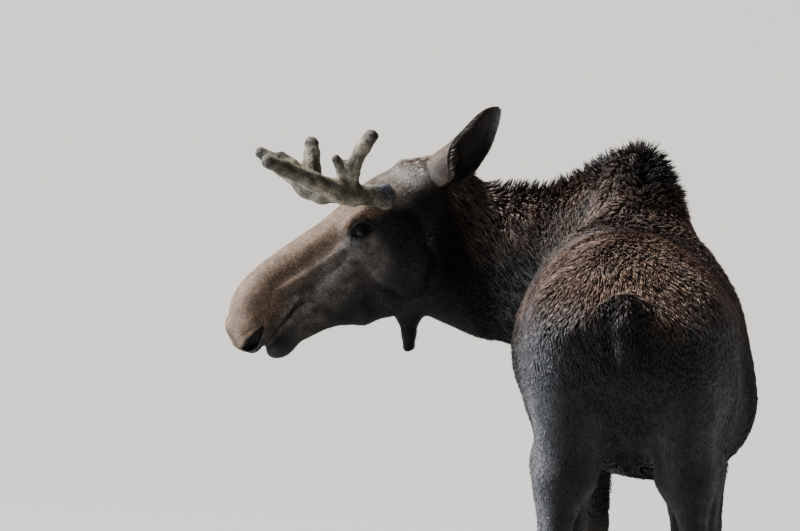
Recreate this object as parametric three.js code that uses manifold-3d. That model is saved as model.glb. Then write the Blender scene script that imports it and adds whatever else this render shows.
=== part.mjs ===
// A young bull moose in velvet, standing, with its neck bent and its head turned to its left.
// Millimetres, +Z up. The body faces -Y, so its left side is +X. The exported group stands on z = 0,
// and its origin is under the middle of its box.
import * as THREE from "three";
import { mergeVertices } from "three/addons/utils/BufferGeometryUtils.js";
import Module from "manifold-3d";

const wasm = await Module();
wasm.setup();

// ---------------------------------------------------------------- driving sizes
const CUT = 0.6; // width of the thin cuts that part the body into its named pieces
const EYE_RADIUS = 21;
const SEAT = 0.4; // clearance all round a piece that is let into its neighbour
const POLL = [588, -684, 1652]; // top of the head behind the antlers, the origin of the head's own frame
const HEAD_YAW = 108.5; // degrees the head is turned to its left from straight ahead
const HEAD_PITCH = 38; // degrees the nose points down
const HEAD_ROLL = -3; // degrees the right side hangs lower
const FLESH_CELL = [88, 112, 71.5]; // grid of the trunk's facets
const NECK_CELL = [70, 74, 72];
const HEAD_CELL = [34, 46, 38];
const ANTLER_CELL = 24.5;
const EVENING = 2; // turns of evening out the corners over each form

// ---------------------------------------------------------------- fields
// A field gives the signed distance in millimetres from a point to a form, below 0 inside it.

// A rod with round ends whose radius runs from ra at a to rb at b.
function rod(a, b, ra, rb) {
  const [bx, by, bz] = [b[0] - a[0], b[1] - a[1], b[2] - a[2]];
  const long = bx * bx + by * by + bz * bz;
  const step = ra - rb;
  const slant = long - step * step;
  return (x, y, z) => {
    const [px, py, pz] = [x - a[0], y - a[1], z - a[2]];
    const along = px * bx + py * by + pz * bz;
    const beyond = along - long;
    const across =
      (px * long - bx * along) ** 2 + (py * long - by * along) ** 2 + (pz * long - bz * along) ** 2;
    const k = Math.sign(step) * step * step * across;
    if (Math.sign(beyond) * slant * beyond * beyond * long > k) {
      return Math.sqrt(across + beyond * beyond * long) / long - rb;
    }
    if (Math.sign(along) * slant * along * along * long < k) {
      return Math.sqrt(across + along * along * long) / long - ra;
    }
    return (Math.sqrt((across * slant) / long) + along * step) / long - ra;
  };
}

// A chain of rods through joints of [x, y, z, radius].
function chain(...joints) {
  return blend(12, ...joints.slice(1).map((j, i) => rod(joints[i], j, joints[i][3], j[3])));
}

// An ellipsoid, leaned about the x axis by degrees.
function ellipsoid(centre, radii, lean = 0) {
  const [c, s] = [Math.cos(THREE.MathUtils.degToRad(lean)), Math.sin(THREE.MathUtils.degToRad(lean))];
  return (x, y, z) => {
    const [px, qy, qz] = [x - centre[0], y - centre[1], z - centre[2]];
    const [py, pz] = [c * qy + s * qz, c * qz - s * qy];
    const near = Math.hypot(px / radii[0], py / radii[1], pz / radii[2]);
    const steep = Math.hypot(px / radii[0] ** 2, py / radii[1] ** 2, pz / radii[2] ** 2);
    return steep < 1e-9 ? -Math.min(...radii) : (near * (near - 1)) / steep;
  };
}

// The union of fields, rounded off over k where they meet.
function blend(k, ...fields) {
  return (x, y, z) => {
    let d = Infinity;
    for (const field of fields) {
      const e = field(x, y, z);
      const h = Math.max(k - Math.abs(d - e), 0) / k;
      d = Math.min(d, e) - (h * h * k) / 4;
    }
    return d;
  };
}

// A field with another one hollowed out of it, rounded off over k.
function hollow(k, field, tool) {
  return (x, y, z) => {
    const [d, e] = [field(x, y, z), -tool(x, y, z)];
    const h = Math.max(k - Math.abs(d - e), 0) / k;
    return Math.max(d, e) + (h * h * k) / 4;
  };
}

// The same form on the right side as on the left.
const bothSides = (field) => (x, y, z) => field(Math.abs(x), y, z);

// A smooth curve through rows of [key, value, value, ...], as a function of the key.
function through(rows) {
  const slope = rows.map((row, i) => {
    const [a, b] = [rows[Math.max(i - 1, 0)], rows[Math.min(i + 1, rows.length - 1)]];
    return row.map((_, c) => (b[c] - a[c]) / (b[0] - a[0]));
  });
  return (key) => {
    const held = THREE.MathUtils.clamp(key, rows[0][0], rows.at(-1)[0]);
    const i = Math.min(Math.max(rows.findIndex((row) => row[0] >= held) - 1, 0), rows.length - 2);
    const h = rows[i + 1][0] - rows[i][0];
    const t = (held - rows[i][0]) / h;
    const [p, q] = [t * t * (3 - 2 * t), t * (1 - t) * h];
    return rows[i].map(
      (v, c) => v + (rows[i + 1][c] - v) * p + q * ((1 - t) * slope[i][c] - t * slope[i + 1][c]),
    );
  };
}

// Distance from (across, height) in a section whose upper and lower halves are superellipses, with the
// stretch past an end of the form counted as part of an egg-shaped cap.
function inSection(across, height, past, cap, { up, down, half, upPower, downPower }) {
  const [reach, power] = height > 0 ? [up, upPower] : [down, downPower];
  const flat = Math.abs(across / half) ** power + Math.abs(height / reach) ** power;
  const near = Math.hypot(flat ** (1 / power), past / cap);
  const far = Math.hypot(across, height, past);
  return near < 1e-6 ? -Math.min(half, reach) : far * (1 - 1 / near);
}

// A form along -Y through rows of [forward, top, bottom, half width, widest height, upper and lower power].
function straightLoft(rows, rearCap, frontCap) {
  const section = through(rows);
  const [first, last] = [rows[0][0], rows.at(-1)[0]];
  const steps = 240;
  const table = Array.from({ length: steps + 1 }, (_, i) => section(first + ((last - first) * i) / steps));
  return (x, y, z) => {
    const forward = -y;
    const at = THREE.MathUtils.clamp((steps * (forward - first)) / (last - first), 0, steps);
    const [, top, bottom, half, mid, upPower, downPower] = table[Math.round(at)];
    const [past, cap] = forward < first ? [first - forward, rearCap] : [Math.max(forward - last, 0), frontCap];
    return inSection(x, z - mid, past, cap, { up: top - mid, down: mid - bottom, half, upPower, downPower });
  };
}

// A form along a bent spine through rows of [step, x, y, z, up, down, half width, upper power].
function bentLoft(rows, cap) {
  const section = through(rows);
  const [first, last] = [rows[0][0], rows.at(-1)[0]];
  const steps = 90;
  const table = Array.from({ length: steps + 1 }, (_, i) => section(first + ((last - first) * i) / steps));
  const upright = new THREE.Vector3(0, 0, 1);
  const frames = table.map((row, i) => {
    const [a, b] = [table[Math.max(i - 1, 0)], table[Math.min(i + 1, steps)]];
    const along = new THREE.Vector3(b[1] - a[1], b[2] - a[2], b[3] - a[3]).normalize();
    const side = new THREE.Vector3().crossVectors(upright, along).normalize();
    return { along, side, up: new THREE.Vector3().crossVectors(along, side) };
  });
  const p = new THREE.Vector3();
  return (x, y, z) => {
    let [best, least] = [0, Infinity];
    for (let i = 0; i <= steps; i += 1) {
      const d = (x - table[i][1]) ** 2 + (y - table[i][2]) ** 2 + (z - table[i][3]) ** 2;
      if (d < least) [best, least] = [i, d];
    }
    const [, cx, cy, cz, up, down, half, upPower] = table[best];
    const { along, side, up: rise } = frames[best];
    p.set(x - cx, y - cy, z - cz);
    const past = best === 0 || best === steps ? Math.abs(p.dot(along)) : 0;
    return inSection(p.dot(side), p.dot(rise), past, cap, { up, down, half, upPower, downPower: 2 });
  };
}

// ---------------------------------------------------------------- from a field to a solid
// The surface of a field inside a box, as one quad mesh split into triangles: each grid cell that the
// surface crosses holds one corner, which is moved onto the surface.
function surfaceOf(field, low, high, cell) {
  const size = Array.isArray(cell) ? cell : [cell, cell, cell];
  const n = low.map((v, i) => Math.ceil((high[i] - v) / size[i]));
  const at = (i, j, k) => [low[0] + i * size[0], low[1] + j * size[1], low[2] + k * size[2]];
  const id = (i, j, k) => (i * (n[1] + 1) + j) * (n[2] + 1) + k;
  const value = new Float64Array((n[0] + 1) * (n[1] + 1) * (n[2] + 1));
  const edge = (i, c) => i === 0 || i === n[c];
  for (let i = 0; i <= n[0]; i += 1)
    for (let j = 0; j <= n[1]; j += 1)
      for (let k = 0; k <= n[2]; k += 1) {
        const d = field(...at(i, j, k));
        const rim = edge(i, 0) || edge(j, 1) || edge(k, 2);
        value[id(i, j, k)] = rim ? Math.max(d, 1) : d || 1e-6;
      }

  const unit = [[1, 0, 0], [0, 1, 0], [0, 0, 1]];
  untangle(value, n, unit, id);
  const corners = [];
  const cornerOf = new Map();
  for (let i = 0; i < n[0]; i += 1)
    for (let j = 0; j < n[1]; j += 1)
      for (let k = 0; k < n[2]; k += 1) {
        const sum = [0, 0, 0];
        let crossings = 0;
        for (let axis = 0; axis < 3; axis += 1)
          for (let side = 0; side < 4; side += 1) {
            const start = [i, j, k];
            start[(axis + 1) % 3] += side & 1;
            start[(axis + 2) % 3] += side >> 1;
            const end = start.map((v, c) => v + unit[axis][c]);
            const [a, b] = [value[id(...start)], value[id(...end)]];
            if (a < 0 === b < 0) continue;
            const t = a / (a - b);
            at(...start).forEach((v, c) => (sum[c] += v + t * size[c] * unit[axis][c]));
            crossings += 1;
          }
        if (!crossings) continue;
        const inner = [i, j, k].every((v, c) => v > 0 && v < n[c] - 1);
        cornerOf.set(id(i, j, k), corners.length);
        corners.push({ place: sum.map((v) => v / crossings), inner, near: new Set() });
      }

  const quads = [];
  for (let i = 0; i < n[0]; i += 1)
    for (let j = 0; j < n[1]; j += 1)
      for (let k = 0; k < n[2]; k += 1)
        for (let axis = 0; axis < 3; axis += 1) {
          const here = [i, j, k];
          if (here[(axis + 1) % 3] === 0 || here[(axis + 2) % 3] === 0) continue;
          const [a, b] = [value[id(...here)], value[id(...here.map((v, c) => v + unit[axis][c]))]];
          if (a < 0 === b < 0) continue;
          const [u, v] = [unit[(axis + 1) % 3], unit[(axis + 2) % 3]];
          const quad = [[0, 0], [1, 0], [1, 1], [0, 1]].map(([p, q]) =>
            cornerOf.get(id(...here.map((h, c) => h - p * u[c] - q * v[c]))),
          );
          quads.push(a > 0 ? quad.reverse() : quad);
        }

  evenOut(corners, quads, field, Math.min(...size) / 3);
  const apart = (a, b) => Math.hypot(...[0, 1, 2].map((c) => corners[a].place[c] - corners[b].place[c]));
  const triangles = quads.flatMap(([p, q, r, s]) =>
    apart(p, r) < apart(q, s) ? [p, q, r, p, r, s] : [q, r, s, q, s, p],
  );
  return solid(new Float32Array(corners.flatMap(({ place }) => place)), new Uint32Array(triangles));
}

// A grid face whose corners lie inside and outside by turns would join the surface to itself, so its
// shallower inside corner is put outside.
function untangle(value, n, unit, id) {
  let mended = true;
  while (mended) {
    mended = false;
    for (let i = 0; i < n[0]; i += 1)
      for (let j = 0; j < n[1]; j += 1)
        for (let k = 0; k < n[2]; k += 1)
          for (let axis = 0; axis < 3; axis += 1) {
            const [u, v] = [unit[(axis + 1) % 3], unit[(axis + 2) % 3]];
            const face = [[0, 0], [1, 0], [1, 1], [0, 1]].map(([p, q]) =>
              id(i + p * u[0] + q * v[0], j + p * u[1] + q * v[1], k + p * u[2] + q * v[2]),
            );
            const [a, b, c, d] = face.map((corner) => value[corner] < 0);
            if (a !== c || b !== d || a === b) continue;
            const inside = a ? [face[0], face[2]] : [face[1], face[3]];
            const shallow = value[inside[0]] > value[inside[1]] ? inside[0] : inside[1];
            value[shallow] = 1e-3;
            mended = true;
          }
  }
}

// Brings the inner corners of a mesh onto the surface of its field, and evens out their spacing there.
function evenOut(corners, quads, field, limit) {
  for (const quad of quads)
    quad.forEach((corner, i) => corners[corner].near.add(quad[(i + 1) % 4]).add(quad[(i + 3) % 4]));
  const inner = corners.filter((corner) => corner.inner);
  for (const corner of inner) settle(corner.place, field, limit);
  for (let turn = 0; turn < EVENING; turn += 1) {
    const moved = inner.map(({ place, near }) => {
      const around = [...near].map((c) => corners[c].place);
      return place.map((v, c) => v / 2 + around.reduce((sum, p) => sum + p[c], 0) / around.length / 2);
    });
    inner.forEach((corner, i) => {
      corner.place = moved[i];
      settle(corner.place, field, limit);
    });
  }
}

// Moves a point onto the surface of a field, by at most a limit at each step.
function settle(p, field, limit) {
  const e = 0.5;
  for (let turn = 0; turn < 3; turn += 1) {
    const d = field(...p);
    const slope = [0, 1, 2].map((c) => {
      const q = [...p];
      q[c] += e;
      return (field(...q) - d) / e;
    });
    const steep = slope.reduce((sum, v) => sum + v * v, 0);
    const move = THREE.MathUtils.clamp(d / Math.max(steep, 0.2), -limit, limit);
    slope.forEach((v, c) => (p[c] -= move * v));
  }
}

const solid = (vertProperties, triVerts) => {
  const mesh = new wasm.Mesh({ numProp: 3, vertProperties, triVerts });
  mesh.merge();
  return new wasm.Manifold(mesh);
};

// A three.js geometry as a solid.
function solidOf(geometry) {
  const bare = geometry.clone();
  bare.deleteAttribute("normal");
  bare.deleteAttribute("uv");
  const merged = mergeVertices(bare, 1e-3);
  return solid(merged.attributes.position.array, new Uint32Array(merged.index.array));
}

// A closed form through rings of points, from its first ring to its last, with a centre point in each end.
function ringLoft(rings) {
  const count = rings[0].length;
  const middle = (ring) => [0, 1, 2].map((c) => ring.reduce((sum, p) => sum + p[c], 0) / count);
  const points = [...rings.flat(), middle(rings[0]), middle(rings.at(-1))];
  const triangles = [];
  rings.slice(1).forEach((_, r) => {
    for (let i = 0; i < count; i += 1) {
      const [a, b] = [r * count + i, r * count + ((i + 1) % count)];
      triangles.push(a, b, b + count, a, b + count, a + count);
    }
  });
  const [start, end] = [rings.length * count, rings.length * count + 1];
  const final = (rings.length - 1) * count;
  for (let i = 0; i < count; i += 1) {
    const next = (i + 1) % count;
    triangles.push(start, next, i, end, final + i, final + next);
  }
  const made = solid(new Float32Array(points.flat()), new Uint32Array(triangles));
  return made.volume() < 0 ? ringLoft(rings.map((ring) => [...ring].reverse())) : made;
}

// What lies on the side of a plane that its normal points to, half a cut away from it.
function beyond(made, point, normal) {
  const n = new THREE.Vector3(...normal).normalize();
  return made.trimByPlane(n.toArray(), n.dot(new THREE.Vector3(...point)) + CUT / 2);
}
const behind = (made, point, normal) => beyond(made, point, normal.map((v) => -v));

// A solid parted into what a convex region holds and what it leaves. The region is a list of planes
// of [point, normal], with the normals pointing into it.
function part(made, region) {
  const inside = region.reduce((rest, [point, normal]) => beyond(rest, point, normal), made);
  const block = region.reduce(
    (rest, [point, normal]) => {
      const n = new THREE.Vector3(...normal).normalize();
      return rest.trimByPlane(n.toArray(), n.dot(new THREE.Vector3(...point)) - CUT / 2);
    },
    solidOf(new THREE.BoxGeometry(6000, 6000, 6000)),
  );
  return [inside, made.subtract(block)];
}

const largest = (made) => made.decompose().sort((a, b) => b.volume() - a.volume())[0];

// A piece cut to sit on what it grows from, and moved outwards from it by the clearance.
function seated(made, bases, direction) {
  const out = new THREE.Vector3(...direction).setLength(2 * SEAT);
  return largest(bases.reduce((rest, base) => rest.subtract(base), made)).translate(out.toArray());
}

// ---------------------------------------------------------------- materials
const finish = (color, roughness) => new THREE.MeshStandardMaterial({ color, roughness, metalness: 0 });
const COAT = finish(0x3d2e27, 0.85);
const FACE = finish(0x6b5646, 0.8);
const MANE = finish(0x241c1a, 0.8);
const VELVET = finish(0x6f6455, 0.95);
const HORN = finish(0x1d1815, 0.45);
const EYE = finish(0x120c08, 0.08);

function node(name, made, material) {
  const mesh = made.getMesh();
  const geometry = new THREE.BufferGeometry()
    .setAttribute("position", new THREE.BufferAttribute(mesh.vertProperties, 3))
    .setIndex(new THREE.BufferAttribute(mesh.triVerts, 1));
  geometry.computeVertexNormals();
  const shown = new THREE.Mesh(geometry, material);
  shown.name = name;
  return shown;
}

// ---------------------------------------------------------------- trunk and neck
// forward, top, bottom, half width, widest height, upper power, lower power
const TRUNK_ROWS = [
  [-850, 1428, 1170, 150, 1290, 2.0, 2.0],
  [-760, 1490, 1075, 205, 1280, 2.0, 2.0],
  [-600, 1536, 1010, 232, 1255, 2.0, 2.0],
  [-420, 1548, 968, 262, 1215, 2.1, 2.0],
  [-200, 1534, 928, 293, 1182, 2.1, 2.1],
  [0, 1542, 905, 302, 1172, 2.1, 2.1],
  [170, 1620, 896, 288, 1177, 1.45, 2.2],
  [310, 1706, 906, 252, 1185, 1.22, 2.1],
  [400, 1714, 935, 220, 1200, 1.22, 2.0],
  [500, 1666, 985, 180, 1230, 1.4, 2.0],
  [590, 1560, 1050, 140, 1270, 1.9, 2.0],
];
// The trunk leans, so that its left side stands higher, and the barrel bulges to the left, where the body bends.
const TRUNK_ROLL = 0.14;
const BARREL_BULGE = 15;
const uprightTrunk = straightLoft(TRUNK_ROWS, 52, 70);
function trunkField(x, y, z) {
  const roll = TRUNK_ROLL * THREE.MathUtils.smoothstep(-y, -650, -250);
  const bulge = Math.exp(-(((z - 1230) / 110) ** 2));
  const shift = BARREL_BULGE * bulge * Math.exp(-(((y - 60) / 330) ** 2));
  return uprightTrunk(x - shift, y, z - roll * x);
}

// step, centre of the section, up, down, half width, upper power
const NECK_ROWS = [
  [0, 34, -330, 1350, 364, 300, 145, 1.35],
  [1, 116, -520, 1365, 322, 262, 152, 1.42],
  [2, 232, -650, 1378, 238, 232, 138, 1.55],
  [3, 350, -712, 1384, 234, 215, 120, 1.5],
  [4, 455, -716, 1408, 214, 192, 110, 1.6],
  [5, 560, -690, 1446, 188, 178, 100, 1.9],
];
const neckField = bentLoft(NECK_ROWS, 60);

// ---------------------------------------------------------------- legs
// Each leg is set out from its left or right side and the fore and aft place of its foot.
function hindLegField(side, shift) {
  const at = (x, y, z, r) => [side * x, y + shift * (1 - z / 1250), z, r];
  return blend(
    55,
    ellipsoid([side * 138, 640, 1225], [112, 225, 215], -18),
    rod(at(128, 800, 1290), at(132, 745, 1010), 84, 80),
    blend(
      30,
      chain(at(136, 520, 1180, 114), at(152, 430, 1020, 80), at(156, 560, 880, 61), at(157, 715, 745, 41)),
      chain(at(150, 620, 1010, 92), at(154, 690, 870, 62), at(157, 742, 770, 40)),
      chain(at(150, 762, 980, 66), at(157, 784, 850, 38), at(157, 790, 745, 30), at(157, 778, 665, 28)),
      chain(at(157, 728, 715, 42), at(156, 748, 655, 42), at(155, 750, 590, 31), at(153, 722, 260, 28)),
    ),
    hindFootField(side, shift),
  );
}
function hindFootField(side, shift) {
  const at = (x, y, z, r) => [side * x, y + shift * (1 - z / 1250), z, r];
  return chain(at(153, 722, 260, 28), at(152, 712, 200, 39), at(151, 675, 130, 35), at(150, 650, 88, 40));
}
function foreLegField(side, shift) {
  const at = (x, y, z, r) => [side * x, y - shift * (1 - z / 1150), z, r];
  return blend(
    50,
    ellipsoid([side * 130, -400, 1245], [82, 145, 200], 16),
    rod(at(128, -590, 1215), at(140, -450, 1060), 82, 88),
    blend(
      24,
      chain(at(140, -400, 1080, 96), at(141, -395, 960, 80), at(140, -412, 760, 53), at(138, -424, 610, 42)),
      rod(at(140, -300, 1045), at(140, -360, 880), 38, 30),
      chain(at(138, -426, 600, 43), at(138, -428, 555, 46), at(137, -420, 500, 33), at(136, -415, 260, 28)),
    ),
    foreFootField(side, shift),
  );
}
function foreFootField(side, shift) {
  const at = (x, y, z, r) => [side * x, y - shift * (1 - z / 1150), z, r];
  return chain(at(136, -415, 260, 28), at(136, -418, 198, 39), at(135, -446, 130, 35), at(135, -470, 88, 40));
}
// How far each foot stands behind (hind) or ahead of (fore) a square stance.
const STANCE = { hind_left: 45, hind_right: -60, fore_left: -35, fore_right: 70 };

const LEGS = [
  ["hind_left", 1, hindLegField],
  ["hind_right", -1, hindLegField],
  ["fore_left", 1, foreLegField],
  ["fore_right", -1, foreLegField],
].map(([name, side, make]) => ({ name, side, hind: name.startsWith("hind"), field: make(side, STANCE[name]) }));

const bodyField = blend(70, blend(95, trunkField, neckField), ...LEGS.map((leg) => leg.field));

// ---------------------------------------------------------------- head
// The head's own frame has its origin at the poll, -Y towards the nose and +Z out of the forehead.
const headFrame = new THREE.Group();
headFrame.position.set(...POLL);
headFrame.rotation.set(
  ...[HEAD_PITCH, HEAD_ROLL, HEAD_YAW].map((degrees) => THREE.MathUtils.degToRad(degrees)),
  "ZXY",
);
headFrame.updateMatrixWorld(true);
const toBody = headFrame.matrixWorld;
const toHead = toBody.clone().invert();
const inHead = (p) => new THREE.Vector3(...p).applyMatrix4(toHead).toArray();
const held = new THREE.Vector3();
const seenFrom = (matrix, field) => (x, y, z) => {
  held.set(x, y, z).applyMatrix4(matrix);
  return field(held.x, held.y, held.z);
};

// forward, top, bottom, half width, widest height, upper power, lower power
const SKULL_ROWS = [
  [-30, -16, -190, 78, -80, 2.0, 2.0],
  [32, 32, -225, 88, -70, 1.9, 2.0],
  [72, 30, -250, 91, -68, 2.1, 2.0],
  [110, 37, -265, 92, -66, 2.3, 2.0],
  [170, 42, -282, 92, -66, 2.3, 1.9],
  [230, 37, -276, 88, -70, 2.2, 1.8],
  [290, 36, -248, 76, -76, 2.1, 1.8],
  [350, 41, -212, 66, -72, 2.1, 1.9],
  [420, 47, -166, 60, -58, 2.2, 2.1],
  [490, 50, -136, 60, -46, 2.3, 2.4],
  [550, 44, -126, 65, -44, 2.4, 2.6],
  [596, 26, -121, 64, -52, 2.4, 2.6],
  [628, 0, -117, 56, -60, 2.2, 2.4],
];
const EYE_PLACE = [69, -241, -38];
const NOSTRIL_PLACE = [62, -628, -82];
const skullField = blend(
  22,
  straightLoft(SKULL_ROWS, 40, 36),
  bothSides(ellipsoid([66, -190, -168], [26, 95, 92], 18)), // cheek
  bothSides(rod([68, -196, -8], [72, -262, -14], 20, 17)), // brow over the eye
  bothSides(rod([66, -272, -84], [48, -400, -92], 16, 12)), // ridge below the eye
);
const muzzleField = hollow(
  8,
  blend(30, skullField, bothSides(ellipsoid([49, -606, -72], [24, 50, 40], 0))),
  bothSides(rod([60, -596, -78], [62, -650, -84], 11, 14)), // nostril
);
const jawField = blend(
  24,
  bothSides(
    chain([46, -180, -230, 40], [40, -290, -228, 38], [32, -360, -206, 34], [22, -430, -164, 27], [8, -560, -138, 25]),
  ),
  bothSides(rod([36, -470, -118], [28, -580, -138], 21, 17)), // lower lip
  ellipsoid([0, -572, -146], [35, 42, 30], -6),
);
const headField = blend(
  40,
  blend(10, muzzleField, jawField),
  ellipsoid([0, 20, -100], [86, 90, 98]),
  bothSides(rod([54, 0, -38], [74, 34, -40], 34, 36)), // at the roots of the ears
);

// ---------------------------------------------------------------- bell, tail and groin
// The bell is the flap of skin that hangs straight down from the throat.
const bellRoot = new THREE.Vector3(0, -244, -264).applyMatrix4(toBody);
const belowBell = (drop, r) => [bellRoot.x, bellRoot.y, bellRoot.z - drop, r];
const bellField = chain(belowBell(0, 40), belowBell(46, 27), belowBell(84, 19), belowBell(138, 16));
const tailField = chain([0, 852, 1402, 34], [0, 884, 1356, 28], [0, 900, 1300, 21], [0, 900, 1270, 13]);
const groinField = ellipsoid([0, 655, 1040], [38, 42, 52]);

const wholeField = blend(
  34,
  blend(60, bodyField, seenFrom(toHead, headField)),
  blend(10, bellField, groinField),
);

// ---------------------------------------------------------------- the cuts
const inBody = (p) => new THREE.Vector3(...p).applyMatrix4(toBody).toArray();
const turned = (n) => new THREE.Vector3(...n).transformDirection(toBody).toArray();
const NAPE = [[0, 0, -98], [0, -0.688, 0.726]]; // behind the ears to the throat, in the head's frame
const NAPE_IN_BODY = [inBody(NAPE[0]), turned(NAPE[1])];
const NECK_BASE = [[178, -596, 1370], [0.62, -0.78, 0]];
const NECK_MIDDLE = [[352, -712, 1384], [0.97, -0.2, 0]];
const BELL_REGION = [
  [[0, 0, bellRoot.z - 52], [0, 0, -1]],
  [[bellRoot.x - 90, 0, 0], [1, 0, 0]],
  [[bellRoot.x + 90, 0, 0], [-1, 0, 0]],
  [[0, bellRoot.y - 90, 0], [0, 1, 0]],
  [[0, bellRoot.y + 90, 0], [0, -1, 0]],
];
// The upper leg is the outer, lower flesh on its side of the trunk.
const upperLegRegion = ({ side, hind }) =>
  hind
    ? [
        [[side * 50, 0, 980], [side * 0.85, 0, -0.525]],
        [[0, 300, 930], [0, 0.92, -0.39]],
      ]
    : [
        [[side * 60, 0, 930], [side * 0.93, 0, -0.36]],
        [[0, -255, 900], [0, -0.994, -0.1]],
        [[0, 0, 1265], [0, 0, -1]],
      ];
const LEG_CUTS = { true: [905, 648, 236], false: [880, 512, 236] }; // heights below the body, hind and fore
const flat = (height) => [[0, 0, height], [0, 0, 1]];

const between = (made, low, high) => behind(beyond(made, ...low), ...high);
const outsideBell = (made) => part(made, BELL_REGION)[1];

// ---------------------------------------------------------------- flesh of the body
const parts = new Map();

let torso = behind(surfaceOf(wholeField, [-430, -840, 770], [520, 1040, 1830], FLESH_CELL), ...NECK_BASE);
const tail = surfaceOf(tailField, [-60, 800, 1230], [60, 970, 1450], [21, 21, 30]);
for (const leg of LEGS) {
  const [upper, rest] = part(torso, upperLegRegion(leg));
  parts.set(`${leg.name}_${leg.hind ? "thigh" : "shoulder"}`, beyond(upper, ...flat(LEG_CUTS[leg.hind][0])));
  torso = rest;
}
parts.set("trunk", torso);
parts.set("tail", seated(tail, [torso, parts.get("hind_left_thigh"), parts.get("hind_right_thigh")], [0, 1, 0.3]));

const neck = surfaceOf(wholeField, [-160, -1000, 1080], [800, -330, 1860], NECK_CELL);
const neckOnly = outsideBell(behind(beyond(neck, ...NECK_BASE), ...NAPE_IN_BODY));
parts.set("neck_lower", behind(neckOnly, ...NECK_MIDDLE));
parts.set("neck_upper", beyond(neckOnly, ...NECK_MIDDLE));

const [bx, by, bz] = bellRoot.toArray();
const bell = surfaceOf(wholeField, [bx - 84, by - 84, bz - 200], [bx + 84, by + 84, bz + 20], [19, 19, 22]);
parts.set("bell", part(bell, BELL_REGION)[0]);

const LEG_NAMES = { true: ["shank", "cannon", "foot"], false: ["forearm", "cannon", "foot"] };
const FOOT_DROP = 0.28; // slope of the line where hoof meets hair, from toe down to heel
const feet = [];
for (const { name, side, hind, field } of LEGS) {
  const [top, joint, ankle] = LEG_CUTS[hind];
  const shift = hind ? STANCE[name] : -STANCE[name];
  const foot = [side * (hind ? 150 : 135), (hind ? 650 : -470) + 0.93 * shift, 0];
  const midway = hind ? 640 : -400;
  const toes = ellipsoid([foot[0], foot[1] + 4, 76], [50, 58, 42]);
  const withToes = blend(18, field, toes);
  const box = (low, high) => [
    [side * 150 - 140, midway - 270, low - 60],
    [side * 150 + 140, midway + 270, high + 60],
  ];
  const names = LEG_NAMES[hind].map((piece) => `${name}_${piece}`);
  parts.set(names[0], between(surfaceOf(wholeField, ...box(joint, top), [42, 46, 66]), flat(joint), flat(top)));
  parts.set(names[1], between(surfaceOf(field, ...box(ankle, joint), [28, 28, 104]), flat(ankle), flat(joint)));
  const coronet = [[foot[0], foot[1], 52], [0, FOOT_DROP, 1]];
  const low = surfaceOf(withToes, ...box(0, ankle), [36, 37, 40]);
  feet.push({ name, foot, coronet, made: between(low, coronet, flat(ankle)) });
}

// ---------------------------------------------------------------- hooves and dewclaws
// forward, half width, height of one toe's horn
const HOOF_ROWS = [
  [-46, 14, 30],
  [-32, 25, 62],
  [10, 28, 84],
  [58, 22, 53],
  [92, 5, 10],
];
const HOOF_SECTION = [[-0.92, 0], [0.92, 0], [1, 0.3], [0.78, 0.78], [0, 1], [-0.78, 0.78], [-1, 0.3]];
const HOOF_APART = 30; // from the middle of the foot to the middle of a toe
const HOOF_SPLAY = 5; // degrees each toe points outwards

function hoof(foot, toeSide) {
  const turn = new THREE.Matrix4()
    .makeTranslation(foot[0] + toeSide * HOOF_APART, foot[1], 0)
    .multiply(new THREE.Matrix4().makeRotationZ(THREE.MathUtils.degToRad(toeSide * HOOF_SPLAY)));
  const rings = HOOF_ROWS.map(([forward, half, height]) =>
    HOOF_SECTION.map(([across, up]) =>
      new THREE.Vector3(across * half, -forward, up * height).applyMatrix4(turn).toArray(),
    ),
  );
  return ringLoft(rings);
}

// A tapering claw behind the pastern.
function dewclaw(foot, toeSide) {
  const axis = new THREE.Vector3(toeSide * 0.15, 0.52, -0.84).normalize();
  const start = new THREE.Vector3(foot[0] + toeSide * 20, foot[1] + 34, 104);
  const across = new THREE.Vector3(1, 0, 0).cross(axis).normalize();
  const over = new THREE.Vector3().crossVectors(axis, across);
  const sides = 5;
  const rings = [[0, 15], [20, 16], [46, 6]].map(([down, r]) =>
    Array.from({ length: sides }, (_, i) => {
      const turn = (2 * Math.PI * i) / sides;
      return start
        .clone()
        .addScaledVector(axis, down)
        .addScaledVector(across, r * Math.cos(turn))
        .addScaledVector(over, r * Math.sin(turn))
        .toArray();
    }),
  );
  return ringLoft(rings);
}

for (const { name, foot, coronet, made } of feet) {
  for (const [place, toeSide] of [["outer", Math.sign(foot[0])], ["inner", -Math.sign(foot[0])]]) {
    parts.set(`${name}_hoof_${place}`, behind(hoof(foot, toeSide), ...coronet));
    parts.set(`${name}_dewclaw_${place}`, seated(dewclaw(foot, toeSide), [made], [0, 1, -0.3]));
  }
  parts.set(`${name}_foot`, made);
}

// ---------------------------------------------------------------- head, in its own frame
const headParts = new Map();
const MOUTH = [[0, -640, -128], [0, 0.204, -0.979]]; // from between the lips back to the corner of the mouth
const JAW_BACK = [[0, -372, -200], [0, -0.885, -0.466]];
const MUZZLE_BACK = [[0, -420, 0], [0, -1, 0]];

const wholeInHead = seenFrom(
  toBody,
  blend(34, blend(60, neckField, seenFrom(toHead, headField)), bellField),
);
const bellInHead = BELL_REGION.map(([point, normal]) => [
  inHead(point),
  new THREE.Vector3(...normal).transformDirection(toHead).toArray(),
]);
const headAndNape = surfaceOf(wholeInHead, [-150, -720, -420], [150, 150, 90], HEAD_CELL);
let skull = part(beyond(headAndNape, ...NAPE), bellInHead)[1];

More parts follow.
